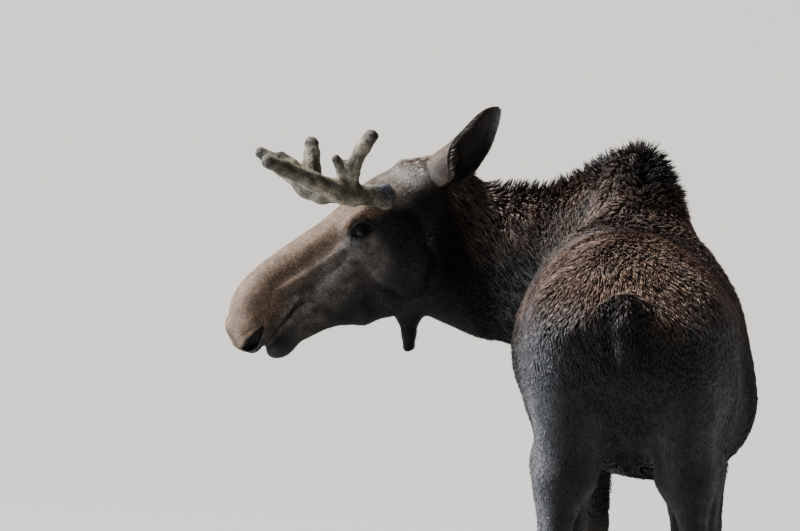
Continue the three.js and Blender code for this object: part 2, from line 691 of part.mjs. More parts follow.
const eyeBall = (side, r) =>
  solidOf(new THREE.SphereGeometry(r, 10, 6).translate(side * EYE_PLACE[0], EYE_PLACE[1], EYE_PLACE[2]));
for (const side of [1, -1]) {
  skull = skull.subtract(eyeBall(side, EYE_RADIUS + SEAT));
  headParts.set(`eye_${side > 0 ? "left" : "right"}`, eyeBall(side, EYE_RADIUS));
}

// ---------------------------------------------------------------- ears
// along the ear, half width, half angle of its curl and backward twist of its opening in degrees
const EAR_ROWS = through([
  [-0.14, 38, 165, 78],
  [0.0, 47, 160, 74],
  [0.14, 54, 146, 62],
  [0.3, 55, 112, 36],
  [0.5, 50, 84, 8],
  [0.7, 43, 68, 0],
  [0.86, 31, 58, 0],
  [0.96, 17, 52, 0],
  [1.0, 6, 50, 0],
]);
const EAR_THICK = 6;
const EAR_BOW = 22;
const EAR_STATIONS = [-0.14, 0, 0.14, 0.3, 0.5, 0.7, 0.86, 0.96, 1];
const EAR_ARC = 4; // steps round the curl

// A cupped ear from its root along an axis, open towards a direction, with its opening twisted round at
// the root and its middle bowed to the rear.
function ear(root, tip, open, side) {
  const start = new THREE.Vector3(...root);
  const axis = new THREE.Vector3(...tip).sub(start);
  const long = axis.length();
  axis.normalize();
  const front = new THREE.Vector3(...open);
  front.addScaledVector(axis, -front.dot(axis)).normalize();
  const rear = new THREE.Vector3().crossVectors(axis, front).multiplyScalar(side);
  const rings = EAR_STATIONS.map((t) => {
    const [, half, curl, twist] = EAR_ROWS(t);
    const [angle, turn] = [THREE.MathUtils.degToRad(curl), THREE.MathUtils.degToRad(twist)];
    const face = front.clone().multiplyScalar(Math.cos(turn)).addScaledVector(rear, Math.sin(turn));
    const across = new THREE.Vector3().crossVectors(axis, face);
    const r = half / Math.sin(Math.min(angle, Math.PI / 2));
    const thick = Math.min(EAR_THICK, half);
    const centre = start
      .clone()
      .addScaledVector(axis, t * long)
      .addScaledVector(rear, EAR_BOW * Math.sin(Math.PI * THREE.MathUtils.clamp(t, 0, 1)) ** 2);
    const point = (radius, a) =>
      centre
        .clone()
        .addScaledVector(across, radius * Math.sin(a))
        .addScaledVector(face, r - radius * Math.cos(a) - half * 0.5)
        .toArray();
    const steps = Array.from({ length: EAR_ARC + 1 }, (_, i) => angle * ((2 * i) / EAR_ARC - 1));
    return [...steps.map((a) => point(r, a)), ...steps.reverse().map((a) => point(r - thick, a * 0.97))];
  });
  return ringLoft(rings);
}

// ---------------------------------------------------------------- antlers
// Joints of [out to the side, forward, up, radius] in the head's frame, with both antlers in velvet.
const ANTLERS = {
  left: {
    side: 1,
    beam: [[58, 142, -30, 28], [88, 148, -2, 28], [130, 178, 24, 26], [172, 214, 58, 29], [188, 232, 84, 30]],
    front: [[190, 236, 84, 28], [214, 282, 160, 23], [236, 322, 232, 21], [251, 345, 270, 18]],
    rear: [[186, 218, 78, 27], [208, 182, 118, 22], [236, 136, 144, 20], [257, 101, 157, 20]],
    knob: [[196, 204, 124, 16], [202, 198, 160, 14]],
  },
  right: {
    side: -1,
    beam: [[58, 142, -30, 28], [88, 148, -2, 28], [136, 182, 28, 26], [178, 222, 64, 30], [204, 236, 96, 32]],
    front: [[206, 236, 96, 30], [222, 246, 154, 25], [240, 264, 202, 21], [248, 273, 233, 17]],
    rear: [[206, 222, 98, 29], [224, 196, 128, 24], [240, 172, 150, 20], [252, 155, 168, 21]],
    knob: [[226, 232, 168, 15], [238, 236, 196, 13]],
  },
};

for (const [name, { side, ...joints }] of Object.entries(ANTLERS)) {
  const placed = (rows) => rows.map(([out, forward, up, r]) => [side * out, -forward, up, r]);
  const all = Object.values(joints).map(placed);
  const low = [0, 1, 2].map((c) => Math.min(...all.flat().map((p) => p[c])) - 50);
  const high = [0, 1, 2].map((c) => Math.max(...all.flat().map((p) => p[c])) + 50);
  const field = blend(20, ...all.map((rows) => chain(...rows)));
  let antler = seated(surfaceOf(field, low, high, ANTLER_CELL), [skull], [side * 0.77, -0.2, 0.61]);

  for (const [tine, forward] of [["front", -1], ["rear", 1]]) {
    const [a, b] = placed(joints[tine]).slice(0, 2).map((p) => new THREE.Vector3(...p.slice(0, 3)));
    const along = b.clone().sub(a).normalize();
    const cut = [a.clone().addScaledVector(along, 36).toArray(), along.toArray()];
    const fence = [a.clone().lerp(b, 0.5).toArray(), [0, forward, 0]];
    const [taken, left] = part(antler, [cut, fence]);
    headParts.set(`antler_${name}_${tine}_tine`, largest(taken));
    antler = left;
  }
  headParts.set(`antler_${name}_beam`, largest(antler));
}

// ---------------------------------------------------------------- the head's pieces
const EARS = {
  left: [[71, -14, -32], [141, 219, -10], [0.9, -0.2, 0.1]],
  right: [[-71, -14, -32], [-257, 70, -123], [-0.3, -0.8, 0.1]],
};
const neckInHead = parts.get("neck_upper").transform(toHead.elements);
for (const [name, [root, tip, open]] of Object.entries(EARS)) {
  const outward = [0.75 * Math.sign(root[0]), 0.1, 0.65];
  headParts.set(`ear_${name}`, seated(ear(root, tip, open, Math.sign(root[0])), [headAndNape, neckInHead], outward));
}
const [jaw, upperHead] = part(skull, [MOUTH, JAW_BACK]);
headParts.set("lower_jaw", largest(jaw));
headParts.set("head", largest(behind(upperHead, ...MUZZLE_BACK)));
headParts.set("muzzle", largest(beyond(upperHead, ...MUZZLE_BACK)));

// ---------------------------------------------------------------- the scene graph
function materialOf(name) {
  if (name.startsWith("eye")) return EYE;
  if (name.startsWith("antler")) return VELVET;
  if (/hoof|dewclaw/.test(name)) return HORN;
  if (/head|muzzle|jaw|ear/.test(name)) return FACE;
  return /neck|bell|trunk/.test(name) ? MANE : COAT;
}

const moose = new THREE.Group();
for (const [name, made] of parts) moose.add(node(name, largest(made), materialOf(name)));
for (const [name, made] of headParts) headFrame.add(node(name, largest(made), materialOf(name)));
moose.add(headFrame);

moose.updateMatrixWorld(true);
const bounds = new THREE.Box3().setFromObject(moose, true);
const middle = bounds.getCenter(new THREE.Vector3());
moose.position.set(-middle.x, -middle.y, -bounds.min.z);

export default moose;
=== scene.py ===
# A young bull moose in velvet, standing with its head turned to its left: its skin, coat, eyes, antlers and
# hooves, on a pale floor in soft studio light.
#
# Forms are worked out in millimetres in the animal's own frame, which has +X to its left, -Y ahead, +Z up,
# and its mid plane at x = 0. placed() takes such points to the model's frame, in metres.
import math
from contextlib import contextmanager

import bmesh
import bpy
import numpy as np
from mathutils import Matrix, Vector
from mathutils.bvhtree import BVHTree
from mathutils.kdtree import KDTree


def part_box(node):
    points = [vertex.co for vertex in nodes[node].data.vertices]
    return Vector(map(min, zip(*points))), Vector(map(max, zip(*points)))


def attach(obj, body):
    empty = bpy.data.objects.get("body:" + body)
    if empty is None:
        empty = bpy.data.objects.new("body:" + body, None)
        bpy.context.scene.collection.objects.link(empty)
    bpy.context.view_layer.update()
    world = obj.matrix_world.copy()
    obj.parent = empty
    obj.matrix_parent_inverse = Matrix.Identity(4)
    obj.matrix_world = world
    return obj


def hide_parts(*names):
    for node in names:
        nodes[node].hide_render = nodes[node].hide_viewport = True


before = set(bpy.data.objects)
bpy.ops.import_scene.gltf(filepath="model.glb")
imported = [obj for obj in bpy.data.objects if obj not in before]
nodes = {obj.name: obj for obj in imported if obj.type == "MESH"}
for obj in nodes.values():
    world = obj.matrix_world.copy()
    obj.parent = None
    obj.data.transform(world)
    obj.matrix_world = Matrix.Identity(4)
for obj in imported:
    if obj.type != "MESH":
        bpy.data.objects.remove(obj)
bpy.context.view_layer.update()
rng = np.random.default_rng(7)

# ---------- the two frames
POLL = np.array([588.0, -684.0, 1652.0])  # top of the head behind the antlers, the origin of the head's frame
HEAD_YAW, HEAD_PITCH, HEAD_ROLL = 108.5, 38.0, -3.0  # degrees: turned to its left, nose down, right side low
EYE_PLACE = np.array([69.0, -241.0, -38.0])  # the left eye in the head's frame
EYE_RADIUS = 21.0


def turn(axis, degrees):
    """A rotation matrix about x (0), y (1) or z (2)."""
    c, s = math.cos(math.radians(degrees)), math.sin(math.radians(degrees))
    i, j = (axis + 1) % 3, (axis + 2) % 3
    m = np.eye(3)
    m[i, i], m[j, j], m[i, j], m[j, i] = c, c, -s, s
    return m


HEAD_TURN = turn(2, HEAD_YAW) @ turn(0, HEAD_PITCH) @ turn(1, HEAD_ROLL)


def to_head(p):
    return (p - POLL) @ HEAD_TURN


def from_head(q):
    return np.asarray(q, float) @ HEAD_TURN.T + POLL


def middle_of(node):
    low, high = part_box(node)
    return 500.0 * (np.array(low) + np.array(high))


# The eyes' places are known in both frames, so they tie the animal's frame to the model's.
eyes_here = [from_head(EYE_PLACE * [side, 1, 1]) for side in (1, -1)]
eyes_there = [middle_of("eye_left"), middle_of("eye_right")]
OFFSET = np.mean(eyes_there, 0) - np.mean(eyes_here, 0)


def placed(p):
    return (np.asarray(p, float) + OFFSET) / 1000.0


# ---------- helpers on numbers
def smooth(a, b, v):
    """0 at a, 1 at b, and a smooth step between them."""
    t = np.clip((v - a) / (b - a), 0.0, 1.0)
    return t * t * (3 - 2 * t)


def unit(v):
    return v / np.maximum(np.linalg.norm(v, axis=-1, keepdims=True), 1e-9)


def hill(d, wide):
    """1 at no distance, falling off smoothly over a width."""
    return np.exp(-((d / wide) ** 2))


def near(p, place, wide):
    """1 at a place, falling off smoothly over a width."""
    return hill(np.linalg.norm(p - place, axis=1), wide)


def towards(value, goal, share):
    return value + (goal - value) * share


# ---------- fields
# A field takes points (n, 3) and gives how far each lies outside a form, below 0 inside it.
def rod(a, b, ra, rb):
    """A rod with round ends whose radius runs from ra at a to rb at b."""
    a, b = np.array(a, float), np.array(b, float)
    along = b - a
    long = along @ along
    step = ra - rb
    slant = long - step * step

    def field(p):
        q = p - a
        y = q @ along
        z = y - long
        across = ((q * long - y[:, None] * along) ** 2).sum(1)
        k = np.sign(step) * step * step * across
        side = (np.sqrt(across * slant / long) + y * step) / long - ra
        far = np.sqrt(across + z * z * long) / long - rb
        near = np.sqrt(across + y * y * long) / long - ra
        past_b = np.sign(z) * slant * z * z * long > k
        before_a = np.sign(y) * slant * y * y * long < k
        return np.where(past_b, far, np.where(before_a, near, side))

    return field


def blend(k, *fields):
    """The union of fields, rounded off over k where they meet."""

    def field(p):
        d = fields[0](p)
        for other in fields[1:]:
            e = other(p)
            h = np.maximum(k - np.abs(d - e), 0) / k
            d = np.minimum(d, e) - h * h * k / 4
        return d

    return field


def within(low, high, form):
    """A form that is looked for only in a box, and is far away outside it."""

    def field(p):
        d = np.full(len(p), 1e4)
        near = ((p > low) & (p < high)).all(1)
        if near.any():
            d[near] = form(p[near])
        return d

    return field


def chain(*joints):
    """A chain of rods through joints of (x, y, z, radius)."""
    return blend(12, *(rod(a[:3], b[:3], a[3], b[3]) for a, b in zip(joints, joints[1:])))


def ellipsoid(centre, radii, lean=0.0):
    """An ellipsoid, leaned about the x axis by degrees."""
    centre, radii, turned = np.array(centre, float), np.array(radii, float), turn(0, lean)

    def field(p):
        q = (p - centre) @ turned
        near = np.linalg.norm(q / radii, axis=1)
        steep = np.linalg.norm(q / radii**2, axis=1)
        return near * (near - 1) / np.maximum(steep, 1e-6)

    return field


def both_sides(form):
    return lambda p: form(p * [0, 1, 1] + np.abs(p) * [1, 0, 0])


def through(rows):
    """A smooth curve through rows of (key, value, value, ...), as a function of the key."""
    rows = np.array(rows, float)
    keys = rows[:, 0]
    first, last = np.maximum(np.arange(len(rows)) - 1, 0), np.minimum(np.arange(len(rows)) + 1, len(rows) - 1)
    slope = (rows[last] - rows[first]) / (keys[last] - keys[first])[:, None]

    def at(key):
        held = np.clip(key, keys[0], keys[-1])
        i = np.clip(np.searchsorted(keys, held) - 1, 0, len(rows) - 2)
        h = (keys[i + 1] - keys[i])[..., None]
        t = (held - keys[i])[..., None] / h
        bend = t * (1 - t) * h
        return rows[i] + (rows[i + 1] - rows[i]) * t * t * (3 - 2 * t) + bend * (
            (1 - t) * slope[i] - t * slope[i + 1]
        )

    return at


def in_section(across, height, past, cap, up, down, half, up_power, down_power):
    """Distance in a section of two superellipse halves, with an egg-shaped cap past an end."""
    reach = np.where(height > 0, up, down)
    power = np.where(height > 0, up_power, down_power)
    flat = np.abs(across / half) ** power + np.abs(height / reach) ** power
    near = np.maximum(np.hypot(flat ** (1 / power), past / cap), 1e-6)
    return np.sqrt(across**2 + height**2 + past**2) * (1 - 1 / near)


def straight_loft(rows, rear_cap, front_cap):
    """A form along -Y through rows of (forward, top, bottom, half width, widest height, two powers)."""
    section = through(rows)
    first, last = rows[0][0], rows[-1][0]

    def field(p):
        forward = -p[:, 1]
        _, top, bottom, half, mid, up_power, down_power = section(forward).T
        past = np.maximum(np.maximum(first - forward, forward - last), 0)
        cap = np.where(forward < first, rear_cap, front_cap)
        reach = top - mid, mid - bottom
        return in_section(p[:, 0], p[:, 2] - mid, past, cap, *reach, half, up_power, down_power)

    return field


class BentLoft:
    """A form along a bent spine through rows of (step, x, y, z, up, down, half width, upper power)."""

    def __init__(self, rows, cap, steps=180):
        self.table = through(rows)(np.linspace(rows[0][0], rows[-1][0], steps + 1))
        self.cap, self.steps = cap, steps
        self.spine = self.table[:, 1:4]
        self.along = unit(np.gradient(self.spine, axis=0))
        self.side = unit(np.cross([0, 0, 1], self.along))
        self.rise = np.cross(self.along, self.side)

    def nearest(self, p):
        spread = (self.spine**2).sum(1)[None] - 2 * p @ self.spine.T
        return spread.argmin(1)

    def local(self, p):
        """For each point: its station, and how far it lies to the side and above the spine there."""
        best = self.nearest(p)
        q = p - self.spine[best]
        return best, (q * self.side[best]).sum(1), (q * self.rise[best]).sum(1)

    def __call__(self, p):
        best, across, height = self.local(p)
        past = np.abs(((p - self.spine[best]) * self.along[best]).sum(1))
        past = np.where((best == 0) | (best == self.steps), past, 0)
        up, down, half, up_power = self.table[best, 4:8].T
        return in_section(across, height, past, self.cap, up, down, half, up_power, 2.0)


# ---------- trunk, neck, legs
# forward, top, bottom, half width, widest height, upper and lower power
TRUNK_ROLL, BARREL_BULGE = 0.14, 15.0
TRUNK_ROWS = [
    (-850, 1428, 1170, 150, 1290, 2.0, 2.0),
    (-760, 1490, 1075, 205, 1280, 2.0, 2.0),
    (-600, 1536, 1010, 232, 1255, 2.0, 2.0),
    (-420, 1548, 968, 262, 1215, 2.1, 2.0),
    (-200, 1534, 928, 293, 1182, 2.1, 2.1),
    (0, 1542, 905, 302, 1172, 2.1, 2.1),
    (170, 1620, 896, 288, 1177, 1.45, 2.2),
    (310, 1706, 906, 252, 1185, 1.22, 2.1),
    (400, 1714, 935, 220, 1200, 1.22, 2.0),
    (500, 1666, 985, 180, 1230, 1.4, 2.0),
    (590, 1560, 1050, 140, 1270, 1.9, 2.0),
]
# step, centre of the section, up, down, half width, upper power
NECK_ROWS = [
    (0, 34, -330, 1350, 364, 300, 145, 1.35),
    (1, 116, -520, 1365, 322, 262, 152, 1.42),
    (2, 232, -650, 1378, 238, 232, 138, 1.55),
    (3, 350, -712, 1384, 234, 215, 120, 1.5),
    (4, 455, -716, 1408, 214, 192, 110, 1.6),
    (5, 560, -690, 1446, 188, 178, 100, 1.9),
]
upright_trunk = straight_loft(TRUNK_ROWS, 52, 70)


def trunk(p):
    """The trunk leans, so that its left side stands higher, and the barrel bulges to the left."""
    leaning = np.array(p, float)
    leaning[:, 2] -= TRUNK_ROLL * smooth(-650, -250, -p[:, 1]) * p[:, 0]
    leaning[:, 0] -= BARREL_BULGE * hill(p[:, 2] - 1230, 110) * hill(p[:, 1] - 60, 330)
    return upright_trunk(leaning)


neck = BentLoft(NECK_ROWS, 60)
near_neck = within((-400, -1100, 900), (900, 100, 1900), neck)
# How far each leg is slanted, so that a hind foot stands behind and a fore foot ahead of a square stance.
FOOT_SHARE = 0.93  # the part of the slant that reaches the foot's place
STANCE = {"hind_left": 45, "hind_right": -60, "fore_left": -35, "fore_right": 70}


# Each leg's joints are (out to the side, backwards, up, radius), in chains: the haunch or the shoulder's
# point, the foot, and those of the limb itself. Its swell is the centre, radii and lean of the muscles above.
LEGS = {
    "hind": {
        "fade": 1250,  # height where the foot's shift has faded out
        "blends": (30, 55),
        "swell": ((138, 640, 1225), (112, 225, 215), -18),
        "point": ((128, 800, 1290, 84), (132, 745, 1010, 80)),
        "foot": ((153, 722, 260, 28), (152, 712, 200, 39), (151, 675, 130, 35), (150, 650, 88, 40)),
        "limb": (
            ((136, 520, 1180, 114), (152, 430, 1020, 80), (156, 560, 880, 61), (157, 715, 745, 41)),
            ((150, 620, 1010, 92), (154, 690, 870, 62), (157, 742, 770, 40)),
            ((150, 762, 980, 66), (157, 784, 850, 38), (157, 790, 745, 30), (157, 778, 665, 28)),
            ((157, 728, 715, 42), (156, 748, 655, 42), (155, 750, 590, 31), (153, 722, 260, 28)),
        ),
        "box": ((-60, 180, 0), (420, 1100, 1620)),
    },
    "fore": {
        "fade": 1150,
        "blends": (24, 50),
        "swell": ((130, -400, 1245), (82, 145, 200), 16),
        "point": ((128, -590, 1215, 82), (140, -450, 1060, 88)),
        "foot": ((136, -415, 260, 28), (136, -418, 198, 39), (135, -446, 130, 35), (135, -470, 88, 40)),
        "limb": (
            ((140, -400, 1080, 96), (141, -395, 960, 80), (140, -412, 760, 53), (138, -424, 610, 42)),
            ((140, -300, 1045, 38), (140, -360, 880, 30)),
            ((138, -426, 600, 43), (138, -428, 555, 46), (137, -420, 500, 33), (136, -415, 260, 28)),
        ),
        "box": ((-60, -900, 0), (420, 0, 1620)),
    },
}


def side_and_kind(name):
    return (1 if name.endswith("left") else -1), name[:4]


def shift_back(name):
    return STANCE[name] if name.startswith("hind") else -STANCE[name]


def foot_place(name):
    side, kind = side_and_kind(name)
    x, y = LEGS[kind]["foot"][-1][:2]
    return np.array([side * x, y + FOOT_SHARE * shift_back(name), 0.0])


def whole_leg(name):
    side, kind = side_and_kind(name)
    facts, shift = LEGS[kind], shift_back(name)

    def limb_of(joints):
        return chain(*((side * x, y + shift * (1 - z / facts["fade"]), z, r) for x, y, z, r in joints))

    centre, radii, lean = facts["swell"]
    limb = blend(facts["blends"][0], *map(limb_of, facts["limb"]))
    swell = ellipsoid((side * centre[0], *centre[1:]), radii, lean)
    leg = blend(facts["blends"][1], swell, limb_of(facts["point"]), limb, limb_of(facts["foot"]))
    x, y, _ = foot_place(name)
    toes = ellipsoid((x, y + 4, 76), (50, 58, 42))
    low, high = facts["box"]
    if side < 0:
        low, high = (-high[0], *low[1:]), (-low[0], *high[1:])
    return within(low, high, blend(18, leg, toes))


legs = [whole_leg(name) for name in STANCE]
body = blend(70, blend(95, trunk, near_neck), *legs)

# ---------- head, in its own frame
# forward, top, bottom, half width, widest height, upper and lower power
SKULL_ROWS = [
    (-30, -16, -190, 78, -80, 2.0, 2.0),
    (32, 32, -225, 88, -70, 1.9, 2.0),
    (72, 30, -250, 91, -68, 2.1, 2.0),
    (110, 37, -265, 92, -66, 2.3, 2.0),
    (170, 42, -282, 92, -66, 2.3, 1.9),
    (230, 37, -276, 88, -70, 2.2, 1.8),
    (290, 36, -248, 76, -76, 2.1, 1.8),
    (350, 41, -212, 66, -72, 2.1, 1.9),
    (420, 47, -166, 60, -58, 2.2, 2.1),
    (490, 50, -136, 60, -46, 2.3, 2.4),
    (550, 44, -126, 65, -44, 2.4, 2.6),
    (596, 26, -121, 64, -52, 2.4, 2.6),
    (628, 0, -117, 56, -60, 2.2, 2.4),
]
skull = blend(
    22,
    straight_loft(SKULL_ROWS, 40, 36),
    both_sides(ellipsoid((66, -190, -168), (26, 95, 92), 18)),  # cheek
    both_sides(rod((68, -196, -8), (72, -262, -14), 20, 17)),  # brow over the eye
    both_sides(rod((66, -272, -84), (48, -400, -92), 16, 12)),  # ridge below the eye
)
muzzle = blend(30, skull, both_sides(ellipsoid((49, -606, -72), (24, 50, 40))))
JAW = [
    (46, -180, -230, 40), (40, -290, -228, 38), (32, -360, -206, 34), (22, -430, -164, 27),
    (8, -560, -138, 25),
]
jaw = blend(
    24,
    both_sides(chain(*JAW)),
    both_sides(rod((36, -470, -118), (28, -580, -138), 21, 17)),  # lower lip
    ellipsoid((0, -572, -146), (35, 42, 30), -6),
)
jaw_flank = both_sides(rod((36, -300, -184), (40, -452, -128), 24, 13))


def closed_jaws(p):
    """The muzzle and the jaw, apart ahead of the corner of the mouth and one flat side behind it."""
    apart = blend(8, muzzle, jaw)(p)
    together = blend(46, muzzle, jaw, jaw_flank)(p)
    return towards(apart, together, smooth(-500, -440, p[:, 1]))


# Root and tip of each ear, and which way it opens, in the head's frame.
EARS = [
    ((71, -14, -32), (141, 219, -10), (0.9, -0.2, 0.1)),
    ((-71, -14, -32), (-257, 70, -123), (-0.3, -0.8, 0.1)),
]


def ear_mound(root, tip):
    """The flesh that an ear rises from."""
    root, tip = np.array(root, float), np.array(tip, float)
    return rod(root + 0.04 * (tip - root) - [np.sign(root[0]) * 8, 0, 0], root + 0.3 * (tip - root), 43, 33)


head = blend(
    40,
    closed_jaws,
    ellipsoid((0, 20, -100), (86, 90, 98)),
    both_sides(rod((54, 0, -38), (74, 34, -40), 34, 36)),
    blend(1, *(ear_mound(root, tip) for root, tip, _ in EARS)),
)

# ---------- bell, tail, groin
BELL_ROOT = from_head((0, -244, -264))


def below_bell(drop, r):
    return (BELL_ROOT[0], BELL_ROOT[1], BELL_ROOT[2] - drop, r)


bell = chain(below_bell(0, 40), below_bell(46, 27), below_bell(84, 19), below_bell(138, 16))
TAIL_BACK = 880.0  # where the middle of the tail hangs
tail = chain((0, 852, 1402, 34), (0, 884, 1356, 28), (0, 900, 1300, 21), (0, 900, 1270, 13))
GROIN = np.array([0.0, 655.0, 1040.0])
groin = ellipsoid(GROIN, (38, 42, 52))
near_head = within((300, -1000, 900), (1200, -300, 1850), lambda p: head(to_head(p)))
near_bell = within(BELL_ROOT - [160, 160, 300], BELL_ROOT + [160, 160, 160], bell)
near_tail = within((-150, 700, 1150), (150, 1050, 1550), tail)
near_groin = within((-200, 450, 850), (200, 850, 1250), groin)
whole = blend(34, blend(60, body, near_head), blend(10, near_bell, near_groin))

# ---------- regions of the body
def lattice(p, size, salt):
    """Smooth noise from -1 to 1 with bumps about a size wide."""
    q = np.asarray(p) / size + salt * 17.31
    base = np.floor(q).astype(np.int64)
    t = q - base
    t = t * t * (3 - 2 * t)
    total = np.zeros(len(q))
    for corner in range(8):
        step = np.array([corner & 1, corner >> 1 & 1, corner >> 2])
        cell = base + step
        h = cell[:, 0] * 73856093 ^ cell[:, 1] * 19349663 ^ cell[:, 2] * 83492791 ^ salt * 2654435
        h = (h ^ (h >> 13)) * 1274126177
        value = ((h ^ (h >> 16)) & 65535) / 32767.5 - 1
        total += value * np.prod(np.where(step, t, 1 - t), axis=1)
    return total


# The crown between the ears, in the head's frame, where hair is short.
CROWN, CROWN_SIZE = np.array([0.0, 40.0, -25.0]), 110.0


def regions(p):
    """How far each point belongs to each region, from 0 to 1, and its place in the head's frame."""
    q = to_head(p)
    (x, y, z), (out, behind, up) = p.T, q.T
    station, across, height = neck.local(p)
    spine_step, neck_top = neck.table[station, 0], neck.table[station, 4]
    on_head = smooth(-40, 50, -behind - 0.35 * np.abs(up + 60)) * smooth(300, 200, np.abs(out))
    off_head = 1 - on_head
    forward = -y
    on_neck = off_head * smooth(0.02, 0.35, spine_step) * smooth(150, 330, forward + 0.9 * x)
    neck_crest = on_neck * smooth(0.62, 0.9, height / neck_top) * hill(across, 60)
    neck_crest *= 1 - near(q, CROWN, CROWN_SIZE)
    hump_crest = off_head * hill(x + 45, 100) * smooth(1535, 1625, z) * smooth(60, 200, forward)
    hump_crest *= smooth(620, 520, forward)
    bell_near = np.hypot(x - BELL_ROOT[0], y - BELL_ROOT[1])
    on_bell = smooth(10, 60, BELL_ROOT[2] - z) * smooth(90, 60, bell_near)
    tail_near = np.hypot(x, y - TAIL_BACK)
    on_tail = smooth(75, 50, tail_near) * smooth(835, 860, y) * smooth(1250, 1270, z)
    return {
        "q": q, "head": on_head, "neck": on_neck, "crest": np.maximum(neck_crest, hump_crest),
        "low": smooth(900, 700, z), "foot": smooth(330, 180, z), "bell": on_bell, "tail": on_tail,
    }


def coat_depth(p):
    """How far the skin lies inside the outline of the coat."""
    r = regions(p)
    deep = 15 - 3 * smooth(300, 700, p[:, 1]) + r["neck"] * 4
    deep = towards(deep, 42, np.clip(r["crest"] * 1.25, 0, 1))
    for region, depth in (("low", 6), ("foot", 3.5), ("bell", 9), ("tail", 9)):
        deep = towards(deep, depth, r[region])
    return towards(deep, 6 - 3 * smooth(80, 240, -r["q"][:, 1]), r["head"])


with_tail = blend(25, whole, near_tail)


def skin_field(p):
    return with_tail(p) + coat_depth(p)


# ---------- meshes as arrays
def shown(name, data):
    obj = bpy.data.objects.new(name, data)
    bpy.context.scene.collection.objects.link(obj)
    return obj


def mesh_of(name, points, faces):
    """A mesh object from points in the animal's frame and lists of corners."""
    made = bpy.data.meshes.new(name)
    made.from_pydata(placed(points).tolist(), [], [list(map(int, f)) for f in faces])
    made.update()
    return shown(name, made)


def read(items, name, width, kind=float):
    found = np.empty(len(items) * width, kind)
    items.foreach_get(name, found)
    return found.reshape(-1, width)


def points_of(mesh):
    return read(mesh.vertices, "co", 3) * 1000.0 - OFFSET


def normals_of(mesh):
    return read(mesh.vertex_normals, "vector", 3)


def edges_of(mesh):
    return read(mesh.edges, "vertices", 2, np.int64)


def band_faces(rings, count):
    """Faces between rings of points, each of the same count."""
    faces = []
    for i in range(rings - 1):
        for j in range(count):
            k = (j + 1) % count
            faces.append((i * count + j, i * count + k, (i + 1) * count + k, (i + 1) * count + j))
    return faces


def tube_faces(rings, count):
    """Faces of a closed tube of rings of points, with flat ends."""
    ends = [list(range(count))[::-1], [(rings - 1) * count + j for j in range(count)]]
    return band_faces(rings, count) + ends


def set_points(mesh, p):
    mesh.vertices.foreach_set("co", placed(p).ravel())
    mesh.update()


def remeshed(obj, size):
    """Makes the object's mesh anew of even faces of a size in metres."""
    step = obj.modifiers.new("even", "REMESH")
    step.mode, step.voxel_size, step.adaptivity = "VOXEL", size, 0
    made = bpy.data.meshes.new_from_object(obj.evaluated_get(bpy.context.evaluated_depsgraph_get()))
    obj.modifiers.clear()
    old, obj.data = obj.data, made
    bpy.data.meshes.remove(old)


def joined(name, parts):
    """One mesh object of all the faces of several nodes."""
    points, faces = [], []
    for mesh in (nodes[part].data for part in parts):
        base = sum(map(len, points))
        points.append(points_of(mesh))
        faces += [[v + base for v in face.vertices] for face in mesh.polygons]
    return mesh_of(name, np.concatenate(points), faces)


@contextmanager
def edited(mesh):
    bm = bmesh.new()
    bm.from_mesh(mesh)
    yield bm
    bm.to_mesh(mesh)
    bm.free()
    mesh.update()


def face_out(mesh):
    with edited(mesh) as bm:
        bmesh.ops.recalc_face_normals(bm, faces=bm.faces)


def give(mesh, name, values):
    """Stores one number for each point of a mesh."""
    mesh.attributes.new(name, "FLOAT", "POINT").data.foreach_set("value", np.asarray(values, np.float32))


def finished(obj, *replaced):
    """The object as a piece of the body, and in place of the nodes that are given."""
    obj.data.shade_smooth()
    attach(obj, "root")
    if replaced:
        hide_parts(*replaced)
    return obj


def relaxed(p, edges, share, weight=1.0):
    """Points moved a share of the way to the middle of their neighbours."""
    a, b = edges.T
    ends, others = np.r_[a, b], p[np.r_[b, a]]
    count = np.maximum(np.bincount(ends, minlength=len(p)), 1)
    total = np.stack([np.bincount(ends, others[:, c], minlength=len(p)) for c in range(3)], 1)
    return p + (total / count[:, None] - p) * share * np.reshape(weight, (-1, 1))


PROBE = 0.6  # millimetres that a field's slope is measured over


def onto(p, field, turns, limit=14.0):
    """Points moved onto the surface of a field, by at most a limit at each step."""
    for _ in range(turns):
        d = field(p)
        g = np.stack([(field(p + step) - d) / PROBE for step in PROBE * np.eye(3)], 1)
        p = p - np.clip(d / np.maximum((g**2).sum(1), 0.25), -limit, limit)[:, None] * g
    return p


def wrapped(obj, field, sizes, limit):
    """Draws the object's mesh evenly onto a field's surface, made anew in two sizes: its points."""
    remeshed(obj, sizes[0])
    set_points(obj.data, onto(points_of(obj.data), field, 4, limit))
    remeshed(obj, sizes[1])
    p = points_of(obj.data)
    for _ in range(2):
        p = relaxed(onto(p, field, 1), edges_of(obj.data), 0.5)
    p = onto(p, field, 2)
    set_points(obj.data, p)
    return p


# ---------- one skin
SEPARATE = ("antler", "eye")
FLESH = [n for n in nodes if not n.startswith(SEPARATE) and "hoof" not in n and "dewclaw" not in n]
SKIN_STEPS = (0.017, 0.0113)  # metres between the points of the first and the second mesh


def make_skin():
    covered = [n for n in nodes if n in FLESH and not n.startswith("ear") or n.startswith("eye")]
    skin = joined("skin", covered)
    wrapped(skin, skin_field, SKIN_STEPS, 18)
    return skin


def refine(skin, wanted):
    """Halves the faces where wanted(points of face middles) is true."""
    with edited(skin.data) as bm:
        chosen = wanted(np.array([f.calc_center_median() for f in bm.faces]) * 1000.0 - OFFSET)
        edges = {e for f, yes in zip(bm.faces, chosen) if yes for e in f.edges}
        bmesh.ops.subdivide_edges(bm, edges=list(edges), cuts=1, use_grid_fill=True)


